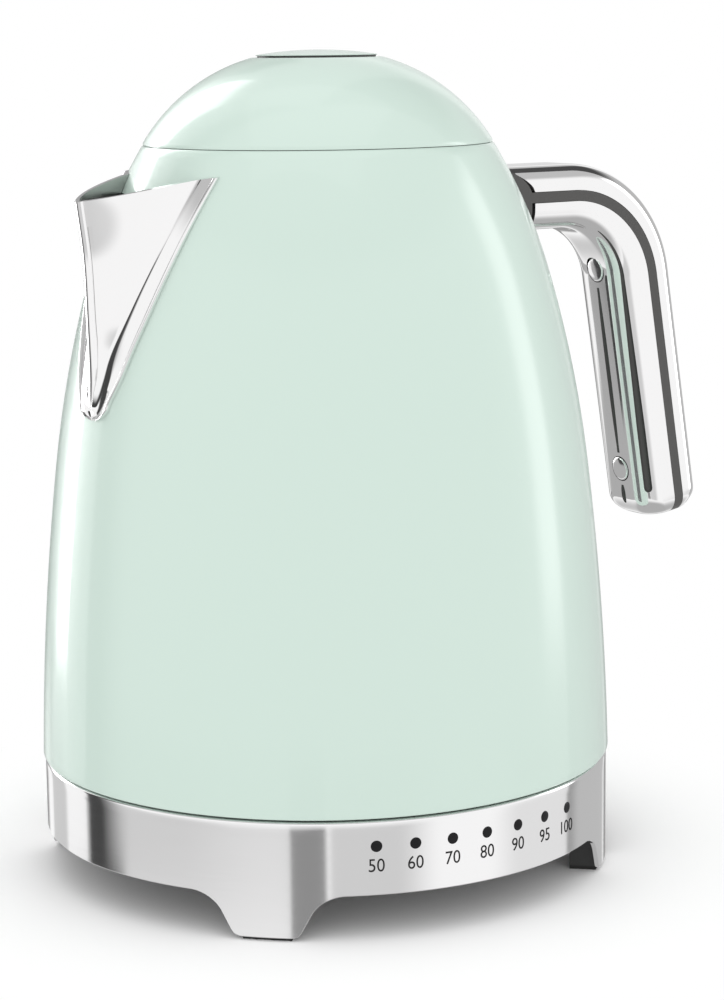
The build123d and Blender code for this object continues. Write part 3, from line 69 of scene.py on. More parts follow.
class Wire:
    """A value on its way through a node tree. Arithmetic on it adds Math nodes."""

    def __init__(self, tree, socket=None):
        self.tree = tree
        self.socket = socket

    def node(self, kind, settings=(), inputs=(), output=0):
        """Add a node, give it its settings and its inputs, and return one of its outputs."""
        made = self.tree.nodes.new(kind)
        for name, value in dict(settings).items():
            setattr(made, name, value)
        for key, value in dict(inputs).items():
            if isinstance(value, Wire):
                self.tree.links.new(value.socket, made.inputs[key])
            else:
                made.inputs[key].default_value = value
        return Wire(self.tree, made.outputs[output] if made.outputs else None)

    def maths(self, operation, first, second):
        return self.node("ShaderNodeMath", {"operation": operation}, {0: first, 1: second})

    def vector(self, operation, *given, output=0):
        settings = {"operation": operation}
        return self.node("ShaderNodeVectorMath", settings, dict(enumerate(given)), output)

    def __add__(self, other):
        return self.maths("ADD", self, other)

    def __sub__(self, other):
        return self.maths("SUBTRACT", self, other)

    def __rsub__(self, other):
        return self.maths("SUBTRACT", other, self)

    def __mul__(self, other):
        return self.maths("MULTIPLY", self, other)

    __radd__ = __add__
    __rmul__ = __mul__


world = bpy.data.worlds.new("studio")
world.use_nodes = True
world.node_tree.nodes.clear()
scene.world = world
sky = Wire(world.node_tree)
seen = sky.node("ShaderNodeLightPath", output="Is Camera Ray")
glossy = sky.node("ShaderNodeLightPath", output="Is Glossy Ray")
through = sky.node("ShaderNodeLightPath", output="Is Transmission Ray")
heading = sky.node("ShaderNodeTexCoord", output="Generated")
level_heading = sky.vector("NORMALIZE", sky.vector("MULTIPLY", heading, (1.0, 1.0, 0.0)))
upward = sky.node("ShaderNodeSeparateXYZ", {}, {0: heading}, "Z")


def ramp(wire, value, low, high):
    """Rise smoothly from 0 to 1 between two values."""
    return wire.node("ShaderNodeMapRange", {"interpolation_type": "SMOOTHSTEP"},
                     {"Value": value, "From Min": low, "From Max": high})


low_dim, high_dim, darkest = 0.55, 0.45, 0.06
shown = 1.0 - ramp(sky, upward, -0.42, -0.75) * low_dim - ramp(sky, upward, 0.42, 0.62) * high_dim
# One row for each gap: the bearing where it starts and its rise, the bearing where it ends and its
# fade, all in degrees, its depth, its bottom and top as sines, and the haze of those two edges.
# A bright strip is a gap with a depth below zero.
for first, rise, last, fade, depth, bottom, top, haze in (
    (223.2, 0.9, 237.6, 1.4, 0.72, -0.42, -0.19, 0.04),
    (126.5, 0.9, 152.0, 19.0, 0.97, -0.33, 2.0, 0.012),
    (147.0, 8.0, 223.0, 0.9, 0.24, -0.33, -0.19, 0.03),
    (150.0, 4.0, 216.0, 40.0, 0.10, -0.33, -0.19, 0.03),
    (240.0, 2.5, 285.0, 20.0, 0.34, -0.42, -0.19, 0.04),
    (88.0, 0.9, 108.0, 4.0, 0.36, -0.33, -0.19, 0.012),
    (80.0, 0.9, 150.0, 4.0, 0.56, -0.46, -0.31, 0.012),
    (322.0, 16.0, 362.0, 10.0, 0.20, -0.42, -0.19, 0.04),
    (352.5, 2.0, 398.0, 6.0, 0.48, -0.42, 2.0, 0.04),
    (38.0, 0.9, 64.0, 2.0, 0.66, -0.42, -0.15, 0.04),
    (62.0, 2.0, 80.0, 6.0, 0.66, -0.42, 0.0, 0.05),
    (78.0, 6.0, 95.0, 5.0, 0.70, -0.22, 0.0, 0.04),
    (124.4, 0.9, 127.4, 0.9, 0.56, -0.31, -0.24, 0.012),
    (63.0, 3.0, 77.0, 3.0, 0.62, 0.02, 0.62, 0.05),
    (46.0, 3.0, 64.0, 3.0, 0.26, 0.0, 0.38, 0.04),
    (342.0, 9.0, 356.0, 9.0, -2.3, -0.14, 0.5, 0.06),
    (97.0, 0.9, 110.0, 1.5, -7.5, -0.17, 0.34, 0.04),
    (83.0, 3.0, 108.0, 4.0, -3.8, 0.26, 0.74, 0.06),
):
    middle = math.radians((first + last) / 2)
    along = (math.cos(middle), math.sin(middle), 0.0)
    across = (-math.sin(middle), math.cos(middle), 0.0)
    ahead = sky.vector("DOT_PRODUCT", level_heading, along, output="Value")
    aside = sky.vector("DOT_PRODUCT", level_heading, across, output="Value")
    edge = math.sin(math.radians(last - first) / 2)
    rise_run, fade_run = math.radians(rise), math.radians(fade)
    gap = ramp(sky, aside, -edge - rise_run, -edge) * ramp(sky, aside, edge, edge - fade_run)
    gap = gap * sky.maths("GREATER_THAN", ahead, 0.0)
    gap = gap * ramp(sky, upward, top + haze, top - haze)
    gap = gap * ramp(sky, upward, bottom - haze, bottom + haze)
    shown = shown - gap * depth
shown = sky.maths("MAXIMUM", shown, darkest)
white = (1.0, 1.0, 1.0, 1.0)
studio_white = sky.node("ShaderNodeBackground", {}, {"Color": white, "Strength": 1.0})
studio_shown = sky.node("ShaderNodeBackground", {}, {"Color": white, "Strength": shown})
mirrored = sky.node("ShaderNodeMixShader", {}, {0: glossy, 1: studio_white, 2: studio_shown})
direct = sky.maths("MAXIMUM", seen, through)
backdrop = sky.node("ShaderNodeMixShader", {}, {0: direct, 1: mirrored, 2: studio_white})
sky.node("ShaderNodeOutputWorld", {}, {"Surface": backdrop})

lamp_place, lamp_aim = Vector((-0.15, -0.16, 1.5)), Vector((0.0, 0.0, 0.1))
lamp_side, lamp_level = 1.4, 0.42
lamp = bpy.data.lights.new("lamp_overhead", "AREA")
lamp.size = lamp_side
lamp.energy = lamp_level * math.pi * lamp_side * lamp_side
overhead = put("lamp_overhead", lamp)
overhead.location = lamp_place
overhead.rotation_euler = (lamp_aim - lamp_place).to_track_quat("-Z", "Y").to_euler()
overhead.visible_camera = False


def start_finish(name):
    """Open an empty material and the wire that its nodes are laid on."""
    finish = bpy.data.materials.new(name)
    finish.use_nodes = True
    finish.node_tree.nodes.clear()
    return finish, Wire(finish.node_tree)


shadow_near, shadow_far, table_half, table_drop = 0.086, 0.168, 8.0, 0.05
table, table_wire = start_finish("table_white")
table_grain = table_wire.node("ShaderNodeTexNoise", {}, {"Scale": 40.0}, "Fac")
table_near = table_wire.node("ShaderNodeBsdfDiffuse", {}, {
    "Color": (0.985, 0.985, 0.985, 1.0),
    "Roughness": table_grain,
})
table_far = table_wire.node("ShaderNodeEmission", {}, {"Color": white})
table_place = table_wire.node("ShaderNodeTexCoord", output="Object")
table_reach = table_wire.vector("LENGTH", table_place, output="Value")
table_fade = ramp(table_wire, table_reach, shadow_near, shadow_far)
table_layers = {0: table_fade, 1: table_near, 2: table_far}
table_shader = table_wire.node("ShaderNodeMixShader", {}, table_layers)
table_wire.node("ShaderNodeOutputMaterial", {}, {"Surface": table_shader})
table_mesh = bpy.data.meshes.new("table")
table_ends = (-table_half, table_half)
table_corners = [(x, y, 0.0) for x in table_ends for y in table_ends]
table_mesh.from_pydata(table_corners, [], [(0, 2, 3, 1)])
table_top = put("table", table_mesh)
table_top.location.z = -table_drop * MM
table_mesh.materials.append(table)
table_top.visible_glossy = False


# Base band: a ring of polished steel sheet round the power base, rolled over at its top edge.
# Its lower edge is cut away between four lugs, which flare into it and end just above the table.
def mix_colours(wire, share, first, second):
    """Blend two colours by a share between 0 and 1."""
    ends = {0: share, 6: (*first, 1.0), 7: (*second, 1.0)}
    return wire.node("ShaderNodeMix", {"data_type": "RGBA"}, ends, 2)


def noise(wire, scale, detail=2.0, stretch=(1.0, 1.0, 1.0)):
    """Read a noise in the piece's own coordinates, finer along the axes that are stretched."""
    place = wire.node("ShaderNodeTexCoord", output="Object")
    place = wire.node("ShaderNodeMapping", {}, {"Vector": place, "Scale": stretch})
    pattern = {"Vector": place, "Scale": scale, "Detail": detail}
    return wire.node("ShaderNodeTexNoise", {}, pattern, "Fac")


def end_finish(wire, inputs):
    """Close a material with its surface shader."""
    shader = wire.node("ShaderNodeBsdfPrincipled", {}, inputs)
    wire.node("ShaderNodeOutputMaterial", {}, {"Surface": shader})


def relief(wire, height, depth):
    """Turn a pattern into a fine relief of a depth in metres."""
    return wire.node("ShaderNodeBump", {}, {"Distance": depth, "Height": height}, "Normal")


polished_steel, wire = start_finish("polished_steel")
drawn_lines = noise(wire, 60.0, 3.0, (1.0, 1.0, 18.0))
handling = noise(wire, 14.0)
end_finish(wire, {
    "Base Color": mix_colours(wire, handling, (0.895, 0.89, 0.892), (0.93, 0.927, 0.93)),
    "Metallic": 1.0,
    "Roughness": 0.07 + drawn_lines * 0.05,
    "Normal": relief(wire, drawn_lines, 0.002 * MM),
})


def settle(piece):
    """Apply a piece's modifiers, so that it is a plain mesh."""
    ready = piece.evaluated_get(bpy.context.evaluated_depsgraph_get())
    done = bpy.data.meshes.new_from_object(ready)
    piece.modifiers.clear()
    piece.data = done


def smooth(mesh):
    """Shade a mesh smooth, but for its creases."""
    crease = 35.0
    mesh.shade_smooth()
    mesh.set_sharp_from_angle(angle=math.radians(crease))


def add_piece(name, points, faces, finish):
    """Make a closed mesh piece from points in millimetres, with its faces pointed outwards."""
    weld = 0.002
    mesh = bpy.data.meshes.new(name)
    mesh.from_pydata([Vector(point) * MM for point in points], [], faces)
    mesh.materials.append(finish)
    work = bmesh.new()
    work.from_mesh(mesh)
    bmesh.ops.remove_doubles(work, verts=work.verts, dist=weld * MM)
    bmesh.ops.recalc_face_normals(work, faces=work.faces)
    work.to_mesh(mesh)
    work.free()
    smooth(mesh)
    return put(name, mesh)


def ring_faces(columns, rows):
    """List the quads of a grid that closes on itself round its columns and round its rows."""
    faces = []
    for column in range(columns):
        here, there = column * rows, (column + 1) % columns * rows
        for row in range(rows):
            above = (row + 1) % rows
            faces.append((here + row, there + row, there + above, here + above))
    return faces


def tube_faces(rows, around):
    """List the quads between rows of points that each close on themselves."""
    faces = []
    for row in range(rows - 1):
        low, high = row * around, (row + 1) * around
        for index in range(around):
            after = (index + 1) % around
            faces.append((low + index, low + after, high + after, high + index))
    return faces


def cut(piece, name, points, faces, finish=None):
    """Cut a closed shape out of a piece, and give the faces of the cut a finish of their own."""
    knife = add_piece(name, points, faces, finish or piece.data.materials[0])
    cutting = piece.modifiers.new("cut", "BOOLEAN")
    cutting.operation = "DIFFERENCE"
    cutting.solver = "EXACT"
    cutting.material_mode = "TRANSFER"
    cutting.object = knife
    settle(piece)
    bpy.data.objects.remove(knife)
    smooth(piece.data)


def prism(outline, near, far):
    """Make the points and faces of a prism from an outline's points at its two ends."""
    count = len(outline)
    points = [near(*spot) for spot in outline] + [far(*spot) for spot in outline]
    faces = [tuple(range(count)), tuple(range(2 * count - 1, count - 1, -1))]
    return points, faces + tube_faces(2, count)


def arc_points(centre, radius, start, end, count):
    """List points along an arc, its angles in degrees from the outward direction."""
    points = []
    for step in range(count + 1):
        angle = math.radians(start + (end - start) * step / count)
        points.append((centre[0] + radius * math.cos(angle), centre[1] + radius * math.sin(angle)))
    return points


def at_turn(profile, turn):
    """Place a profile of radii and heights at a turn round the upright axis."""
    cosine, sine = math.cos(turn), math.sin(turn)
    return [(radius * cosine, radius * sine, height) for radius, height in profile]


band_radius, band_inside, band_lip = 85.2, 84.0, 81.6
band_top, lip_under, lug_low = 34.4, 33.2, 1.0
band_break, band_bend, band_columns, band_rows = 0.25, 0.8, 1080, 8
lug_turn, lug_pitch = 45.7, 90.0
gap_level, blend_bend, blend_start, blend_end = 13.1, 9.0, 42.34, 50.59
slope_foot, slope_run = 53.93, 0.4348
corner_start, corner_end, corner_round = 52.82, 55.2, 2.6


def lug_edge(across):
    """Height of the band's lower edge, by the distance sideways from the middle of a gap."""
    side = abs(across)
    if side < blend_start:
        return gap_level
    if side < blend_end:
        return gap_level - blend_bend + math.sqrt(blend_bend**2 - (side - blend_start) ** 2)
    if side < corner_start:
        return (slope_foot - side) / slope_run
    return lug_low + corner_round - math.sqrt(corner_round**2 - max(corner_end - side, 0.0) ** 2)


bend_low = band_top - band_bend
band_points = []
for column in range(band_columns):
    turn = math.tau * column / band_columns
    off_gap = (math.degrees(turn) - lug_turn) % lug_pitch - lug_pitch / 2
    low = lug_edge(band_radius * math.sin(math.radians(off_gap)))
    profile = [(band_radius - band_break, low), (band_radius, low + band_break)]
    for step in range(1, band_rows + 1):
        profile.append((band_radius, low + (bend_low - low) * step / band_rows))
    profile += arc_points((band_radius - band_bend, bend_low), band_bend, 0.0, 90.0, 6)[1:]
    profile += [(band_lip, band_top), (band_lip, lip_under)]
    profile += [(band_inside, lip_under), (band_inside, low)]
    band_points += at_turn(profile, turn)
band_faces = ring_faces(band_columns, len(profile))
band = add_piece("base_band_sheet", band_points, band_faces, polished_steel)
hole_start, hole_end, hole_corners = 78.0, 92.0, 64
for hole_name, turn, height, radius in (
    ("start_hole", -9.0, 23.15, 6.4),
    ("temperature_hole", 9.0, 23.15, 6.4),
    ("bush_hole", 94.3, 22.0, 5.35),
):
    radial = Matrix.Rotation(math.radians(turn), 3, "Z")
    hole = prism(
        arc_points((0.0, 0.0), radius, 0.0, 360.0, hole_corners)[:-1],
        lambda across, up: radial @ Vector((hole_start, across, height + up)),
        lambda across, up: radial @ Vector((hole_end, across, height + up)),
    )
    cut(band, hole_name, *hole)
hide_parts("base_band")
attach(band, "base")


# Deck, floor, foot blocks and hub: moulded in black plastic with a fine spark-eroded grain. Screws
# clamp the floor and the deck in the band, and the foot blocks stand behind the lugs. The carrier
# of the lenses, the coupler and the pieces under the jug's floor are of the same plastic.
def paint(finish, *nodes):
    """Give a finish to pieces that keep the shape they were built with."""
    for node in nodes:
        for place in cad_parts[node].material_slots:
            place.material = finish


black_plastic, wire = start_finish("black_plastic")
eroded = noise(wire, 2600.0, 1.0)
shades = noise(wire, 30.0)
end_finish(wire, {
    "Base Color": mix_colours(wire, shades, (0.016, 0.016, 0.016), (0.026, 0.026, 0.026)),
    "Roughness": 0.42 + eroded * 0.16,
    "Normal": relief(wire, eroded, 0.02 * MM),
})
paint(black_plastic, "base_deck", "base_floor", "foot_blocks", "connector_hub")
paint(black_plastic, "indicator_carrier", "coupler", "under_cover", "cutout_control")

# Foot pads and cord bush: black rubber, matt, a little dusty where it has been handled.
# The pads are glued under the foot blocks and the bush is pressed into the band.
black_rubber, wire = start_finish("black_rubber")
dust = noise(wire, 90.0, 4.0)
end_finish(wire, {
    "Base Color": mix_colours(wire, dust, (0.012, 0.012, 0.012), (0.03, 0.03, 0.029)),
    "Roughness": 0.78 + dust * 0.15,
    "Normal": relief(wire, noise(wire, 1800.0), 0.03 * MM),
})
paint(black_rubber, "foot_pads", "cord_bush")

# Screws, arm, pin and springs: plain bright steel, turned or drawn, with fine lines left by the
# tool. The same steel makes the jug's floor, the element, the probe and the mesh of the filter.
bright_steel, wire = start_finish("bright_steel")
tool_lines = noise(wire, 120.0, 3.0, (1.0, 1.0, 14.0))
end_finish(wire, {
    "Base Color": mix_colours(wire, noise(wire, 25.0), (0.56, 0.555, 0.55), (0.66, 0.66, 0.655)),
    "Metallic": 1.0,
    "Roughness": 0.24 + tool_lines * 0.14,
    "Normal": relief(wire, tool_lines, 0.006 * MM),
})
paint(bright_steel, "base_screws", "hinge_arm_screws", "handle_screws", "handle_mount_screws")
paint(bright_steel, "hinge_arm", "hinge_pin", "button_spring", "latch_spring")
paint(bright_steel, "jug_floor", "heating_element", "temperature_probe", "filter_mesh")

# Contacts: stamped brass rings and pins at the connector, slightly darkened by handling.
# They sit at the bottom of the hub's slots and hang from the coupler's roof.
contact_brass, wire = start_finish("contact_brass")
tarnish = noise(wire, 160.0, 4.0)
end_finish(wire, {
    "Base Color": mix_colours(wire, tarnish, (0.80, 0.58, 0.22), (0.55, 0.38, 0.14)),
    "Metallic": 1.0,
    "Roughness": 0.22 + tarnish * 0.2,
})
paint(contact_brass, "hub_contacts", "coupler_contacts")

# Circuit boards and relay: lacquered green boards with copper tracks under the lacquer, and a blue
# relay. They stand inside the closed base, behind the buttons and on the floor's bosses.
board_green, wire = start_finish("circuit_board")
board_place = wire.node("ShaderNodeTexCoord", output="Object")
tracks = wire.node("ShaderNodeTexBrick", {}, {
    "Vector": board_place,
    "Scale": 160.0,
    "Color1": (0.02, 0.11, 0.05, 1.0),
    "Color2": (0.03, 0.16, 0.07, 1.0),
    "Mortar": (0.10, 0.26, 0.10, 1.0),
}, "Color")
end_finish(wire, {"Base Color": tracks, "Roughness": 0.3 + noise(wire, 300.0) * 0.15})
paint(board_green, "control_board", "button_board")

relay_blue, wire = start_finish("relay_blue")
end_finish(wire, {
    "Base Color": mix_colours(wire, noise(wire, 60.0), (0.03, 0.09, 0.32), (0.05, 0.12, 0.38)),
    "Roughness": 0.22 + noise(wire, 800.0) * 0.1,
})
paint(relay_blue, "power_relay")

# Indicators: seven small round lenses of smoked plastic set in the band, one over each numeral.
# Each is pressed into its hole, with a slightly domed face that stands just proud of the steel.
indicator_black, wire = start_finish("indicator_black")
smoke = noise(wire, 500.0)
end_finish(wire, {
    "Base Color": mix_colours(wire, smoke, (0.006, 0.006, 0.007), (0.016, 0.016, 0.017)),
    "Roughness": 0.16 + smoke * 0.10,
    "Specular IOR Level": 0.14,
})
indicator_turn, indicator_pitch, indicator_count = -90.8, 7.53, 7
lens_sizes = {
    "Band Radius": band_radius * MM,
    "Height": 27.2 * MM,
    "Lens Radius": 1.65 * MM,
    "Dome": 0.16 * MM,
}
lens_tree = bpy.data.node_groups.new("indicator_row", "GeometryNodeTree")
lens_tree.interface.new_socket("Geometry", in_out="OUTPUT", socket_type="NodeSocketGeometry")
for size_name in lens_sizes:
    lens_tree.interface.new_socket(size_name, in_out="INPUT", socket_type="NodeSocketFloat")
lens_wire = Wire(lens_tree)
given = {name: lens_wire.node("NodeGroupInput", output=name) for name in lens_sizes}


def combine(x, y, z):
    """Join three numbers into one vector."""
    return lens_wire.node("ShaderNodeCombineXYZ", {}, {0: x, 1: y, 2: z})


row = lens_wire.node("GeometryNodeMeshLine", {}, {"Count": indicator_count})
number = lens_wire.node("GeometryNodeInputIndex")
first_turn = math.radians(indicator_turn - indicator_pitch * (indicator_count - 1) / 2)
angle = number * math.radians(indicator_pitch) + first_turn
cosine = lens_wire.maths("COSINE", angle, 0.0)
sine = lens_wire.maths("SINE", angle, 0.0)
spot = combine(cosine * given["Band Radius"], sine * given["Band Radius"], given["Height"])
row = lens_wire.node("GeometryNodeSetPosition", {}, {"Geometry": row, "Position": spot})
dome = lens_wire.node("GeometryNodeMeshUVSphere", {}, {"Radius": given["Lens Radius"]})
flat = combine(lens_wire.maths("DIVIDE", given["Dome"], given["Lens Radius"]), 1.0, 1.0)
dome = lens_wire.node("GeometryNodeTransform", {}, {"Geometry": dome, "Scale": flat})
facing = combine(0.0, 0.0, angle)
placed = lens_wire.node("GeometryNodeInstanceOnPoints", {}, {
    "Points": row,
    "Instance": dome,
    "Rotation": facing,
})
placed = lens_wire.node("GeometryNodeRealizeInstances", {}, {"Geometry": placed})
placed = lens_wire.node("GeometryNodeSetMaterial", {}, {
    "Geometry": placed,
    "Material": indicator_black,
})
lens_wire.node("NodeGroupOutput", {}, {0: placed})
lenses = put("indicator_lens_row", bpy.data.meshes.new("indicator_lens_row"))
lens_row = lenses.modifiers.new("row", "NODES")
lens_row.node_group = lens_tree
for socket in lens_tree.interface.items_tree:
    if socket.in_out == "INPUT":
        lens_row[socket.identifier] = lens_sizes[socket.name]
settle(lenses)
lenses.data.shade_smooth()
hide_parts("indicator_lenses")
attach(lenses, "base")

# Numerals: the temperatures printed on the band in thin black ink, one under each lens.
# They are drawn flat, then laid round the band with a film's thickness of ink.
ink, wire = start_finish("printed_ink")
end_finish(wire, {
    "Base Color": mix_colours(wire, noise(wire, 900.0), (0.012, 0.012, 0.012), (0.03, 0.03, 0.03)),
    "Roughness": 0.5 + noise(wire, 1500.0) * 0.2,
    "Specular IOR Level": 0.12,
})
numeral_height, numeral_middle, numeral_narrow, ink_film = 3.75, 21.75, 0.92, 0.06
ink_radius = band_radius + ink_film
numeral_points, numeral_faces = [], []
for index, words in enumerate(("50", "60", "70", "80", "90", "95", "100")):
    writing = bpy.data.curves.new("numeral", "FONT")
    writing.body = words
    writing.align_x = "CENTER"
    writing.align_y = "CENTER"
    writing.resolution_u = 4
    drawn = put("numeral", writing)
    ready = drawn.evaluated_get(bpy.context.evaluated_depsgraph_get())
    flat_mesh = bpy.data.meshes.new_from_object(ready)
    tops = [vertex.co.y for vertex in flat_mesh.vertices]
    wides = [vertex.co.x for vertex in flat_mesh.vertices]
    grow = numeral_height / (max(tops) - min(tops))
    middle = ((max(wides) + min(wides)) / 2, (max(tops) + min(tops)) / 2)
    turn = math.radians(indicator_turn + indicator_pitch * (index - (indicator_count - 1) / 2))
    start = len(numeral_points)
    for vertex in flat_mesh.vertices:
        across = (vertex.co.x - middle[0]) * grow * numeral_narrow
        up = numeral_middle + (vertex.co.y - middle[1]) * grow
        numeral_points += at_turn([(ink_radius, up)], turn + across / band_radius)
    for face in flat_mesh.polygons:
        numeral_faces.append(tuple(start + corner for corner in face.vertices))
    bpy.data.objects.remove(drawn)
numeral_mesh = bpy.data.meshes.new("numerals")
numeral_mesh.from_pydata([Vector(point) * MM for point in numeral_points], [], numeral_faces)
numeral_mesh.materials.append(ink)
numerals = put("numerals", numeral_mesh)
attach(numerals, "base")

# Buttons: two turned chrome caps under the handle that start the kettle and set its temperature.
# Chrome is a mirror with faint wipe marks. The same plating covers the spout and the handle.
chrome, wire = start_finish("chrome_plate")
wiped = noise(wire, 35.0, 4.0, (1.0, 1.0, 0.35))
end_finish(wire, {
    "Base Color": mix_colours(wire, wiped, (0.895, 0.89, 0.89), (0.935, 0.93, 0.932)),
    "Metallic": 1.0,
    "Roughness": 0.03 + wiped * 0.04,
})
paint(chrome, "start_button", "temperature_button")

# Jug shell: steel drawn into one leaning wall and enamelled in pastel mint, glossy and very even.
# Its lower edge is turned in over the base, it is cut for the spout and the water gauge, and its
# inside is bare steel.
mint_enamel, wire = start_finish("mint_enamel")
clouding = noise(wire, 9.0, 1.0)
peel = noise(wire, 420.0, 1.0)
end_finish(wire, {
    "Base Color": mix_colours(wire, clouding, (0.625, 0.764, 0.69), (0.64, 0.777, 0.703)),
    "Roughness": 0.30 + noise(wire, 50.0) * 0.05,
    "Specular IOR Level": 0.35,
    "Coat Weight": 0.55 + clouding * 0.1,
    "Coat Roughness": 0.04,
    "Normal": relief(wire, peel, 0.0015 * MM),
})
jug_low, jug_high, jug_wall = 35.1, 216.1, 1.2
wall_foot, wall_lean = 85.78, 1.4
wall_arcs = ((900.07, 7.0), (360.03, 16.0), (160.0, 40.0))


def wall_radius(height, inset=0.0):
    """Radius of the jug's wall at a height: three tangent arcs that lean in more and more."""
    radius, level, lean = wall_foot, jug_low, math.radians(wall_lean)
    for bend, end in wall_arcs:
        middle = (radius - bend * math.cos(lean), level - bend * math.sin(lean))
        lean = math.radians(end)
        if height <= middle[1] + (bend - inset) * math.sin(lean):
            break
        radius = middle[0] + bend * math.cos(lean)
        level = middle[1] + bend * math.sin(lean)
    return middle[0] + math.sqrt((bend - inset) ** 2 - (height - middle[1]) ** 2)


def lathe(name, profile, finish, columns=360):
    """Turn a closed profile of radii and heights round the upright axis."""
    points = []
    for column in range(columns):
        points += at_turn(profile, math.tau * column / columns)
    return add_piece(name, points, ring_faces(columns, len(profile)), finish)


foot_round, foot_flange, mouth_break, wall_rows = 0.55, 4.0, 0.35, 90
wall_start, wall_run = jug_low + foot_round, jug_high - jug_low - 2 * foot_round
wall_steps = [wall_start + wall_run * step / wall_rows for step in range(wall_rows + 1)]
foot_radius = wall_radius(jug_low)
jug_profile = arc_points((foot_radius - foot_round, wall_start), foot_round, -90.0, 0.0, 5)
jug_profile += [(wall_radius(height), height) for height in wall_steps[1:]]
jug_profile += [(wall_radius(jug_high) - mouth_break, jug_high)]
inside_steps = (jug_high, *reversed(wall_steps[::2]))
jug_profile += [(wall_radius(height, jug_wall), height) for height in inside_steps]
jug_profile += [(foot_radius - foot_flange, height) for height in (wall_start, jug_low)]
jug = lathe("jug_wall", jug_profile, mint_enamel)


def along_stations(stations, height):
    """Read values on smooth curves through rows that each start with a height."""
    height = min(max(height, stations[0][0]), stations[-1][0])
    place = max(index for index in range(len(stations) - 1) if height >= stations[index][0])
    low, high = stations[place], stations[place + 1]
    before = stations[max(place - 1, 0)]
    after = stations[min(place + 2, len(stations) - 1)]
    run = high[0] - low[0]
    t = (height - low[0]) / run
    values = []
    for index in range(1, len(low)):
        leave = (high[index] - before[index]) / (high[0] - before[0]) * run
        arrive = (after[index] - low[index]) / (after[0] - low[0]) * run
        values.append(low[index] * (2 * t**3 - 3 * t**2 + 1) + leave * (t**3 - 2 * t**2 + t)
                      + high[index] * (3 * t**2 - 2 * t**3) + arrive * (t**3 - t**2))
    return values


spout_low, tulip_round, tulip_foot = 140.5, 5.0, 8.2
tulip_stations = (
    (145.5, 8.2), (153.0, 12.1), (161.0, 15.0), (172.0, 18.8), (187.0, 22.9), (200.0, 25.8),
    (210.0, 27.4),
)


def tulip_half(height, shrink=0.0):
    """Half width of the spout's tulip outline at a height, drawn in by an amount."""
    rise = max(height - spout_low, 0.0)
    if rise < tulip_round:
        half = tulip_foot * math.sqrt(1 - (1 - rise / tulip_round) ** 2) ** 1.1
    else:
        half = along_stations(tulip_stations, height)[0]
    return max(half - shrink, 0.0)


def cross_prism(outline, near, far):
    """Make a prism between two places on the line from the spout to the handle."""
    return prism(outline, lambda y, z: (near, y, z), lambda y, z: (far, y, z))


hole_low, hole_tall, hole_inset, hole_rows = 151.0, 52.0, 6.4, 24
hole_heights = [hole_low + step * hole_tall / hole_rows for step in range(hole_rows + 1)]
hole_outline = [(-tulip_half(height, hole_inset), height) for height in hole_heights]
hole_outline += [(tulip_half(height, hole_inset), height) for height in reversed(hole_heights)]
cut(jug, "spout_hole", *cross_prism(hole_outline, near=-40.0, far=-100.0))
gauge_low, gauge_high, gauge_half = 78.0, 154.0, 7.55
gauge_outline = arc_points((0.0, gauge_high), gauge_half, 0.0, 180.0, 24)
gauge_outline += arc_points((0.0, gauge_low), gauge_half, 180.0, 360.0, 24)
cut(jug, "gauge_hole", *cross_prism(gauge_outline, near=60.0, far=100.0))


def bare_inside(piece, facing, low):
    """Show bare steel on the faces of a piece that look inwards, from a height upwards."""
    piece.data.materials.append(bright_steel)
    for face in piece.data.polygons:
        outwards = Vector((face.center.x, face.center.y, 0.0)).normalized()
        lowest = min(piece.data.vertices[corner].co.z for corner in face.vertices)
        if outwards.dot(face.normal) < facing and lowest > low * MM:
            face.material_index = len(piece.data.materials) - 1


bare_inside(jug, facing=-0.3, low=jug_low - foot_round)
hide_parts("jug_shell")
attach(jug, "jug")

# Spout: a folded sheet of chromed steel, an open V with a rounded nose that widens into a flange.
# A bead follows the flange's edge on the jug, and a hollow flare leads from it into the flat walls.
spout_sheet, spout_gap, inner_lap, lift_run = 1.2, 0.05, 1.8, 2.5
fold_lift, crest_lift, fold_flat, fold_steep = 0.85, 0.82, 12.0, 60.0
rib_most, rib_reach = 0.5, 2.5
nose_steps, side_steps, blend_steps, fold_steps = 10, 16, 10, 6
# One row for each height: the nose's reach and radius, the flange's width and rise, the fold's
# width, and the wall's bulge in degrees.
spout_stations = (
    (spout_low, 77.3, 0.4, 8.5, 1.6, 2.4, 0.0),
    (143.0, 77.45, 1.3, 7.2, 1.6, 2.4, 0.0),
    (146.0, 77.6, 3.2, 6.0, 1.6, 2.4, 0.0),
    (152.0, 77.5, 4.9, 7.8, 1.6, 2.4, 0.0),
    (158.0, 77.5, 4.6, 9.2, 1.6, 2.0, 2.0),
    (168.0, 77.7, 3.9, 8.2, 1.6, 1.3, 4.6),
    (186.0, 78.3, 3.4, 6.6, 1.5, 0.8, 9.0),
    (202.0, 80.2, 3.2, 5.4, 1.2, 0.6, 17.0),
    (212.0, 81.4, 3.2, 4.8, 1.0, 0.6, 21.0),
)


def curve_points(first, middle, last, count):
    """List points along a quadratic curve, without its first point."""
    points = []
    for step in range(1, count + 1):
        t = step / count
        start, bend, end = (1 - t) ** 2, 2 * t * (1 - t), t * t
        corners = zip(first, middle, last)
        points.append(tuple(start * a + bend * b + end * c for a, b, c in corners))
    return points


def between(first, last, share):
    """Point part of the way from one point to another."""
    return tuple(a + (b - a) * share for a, b in zip(first, last))


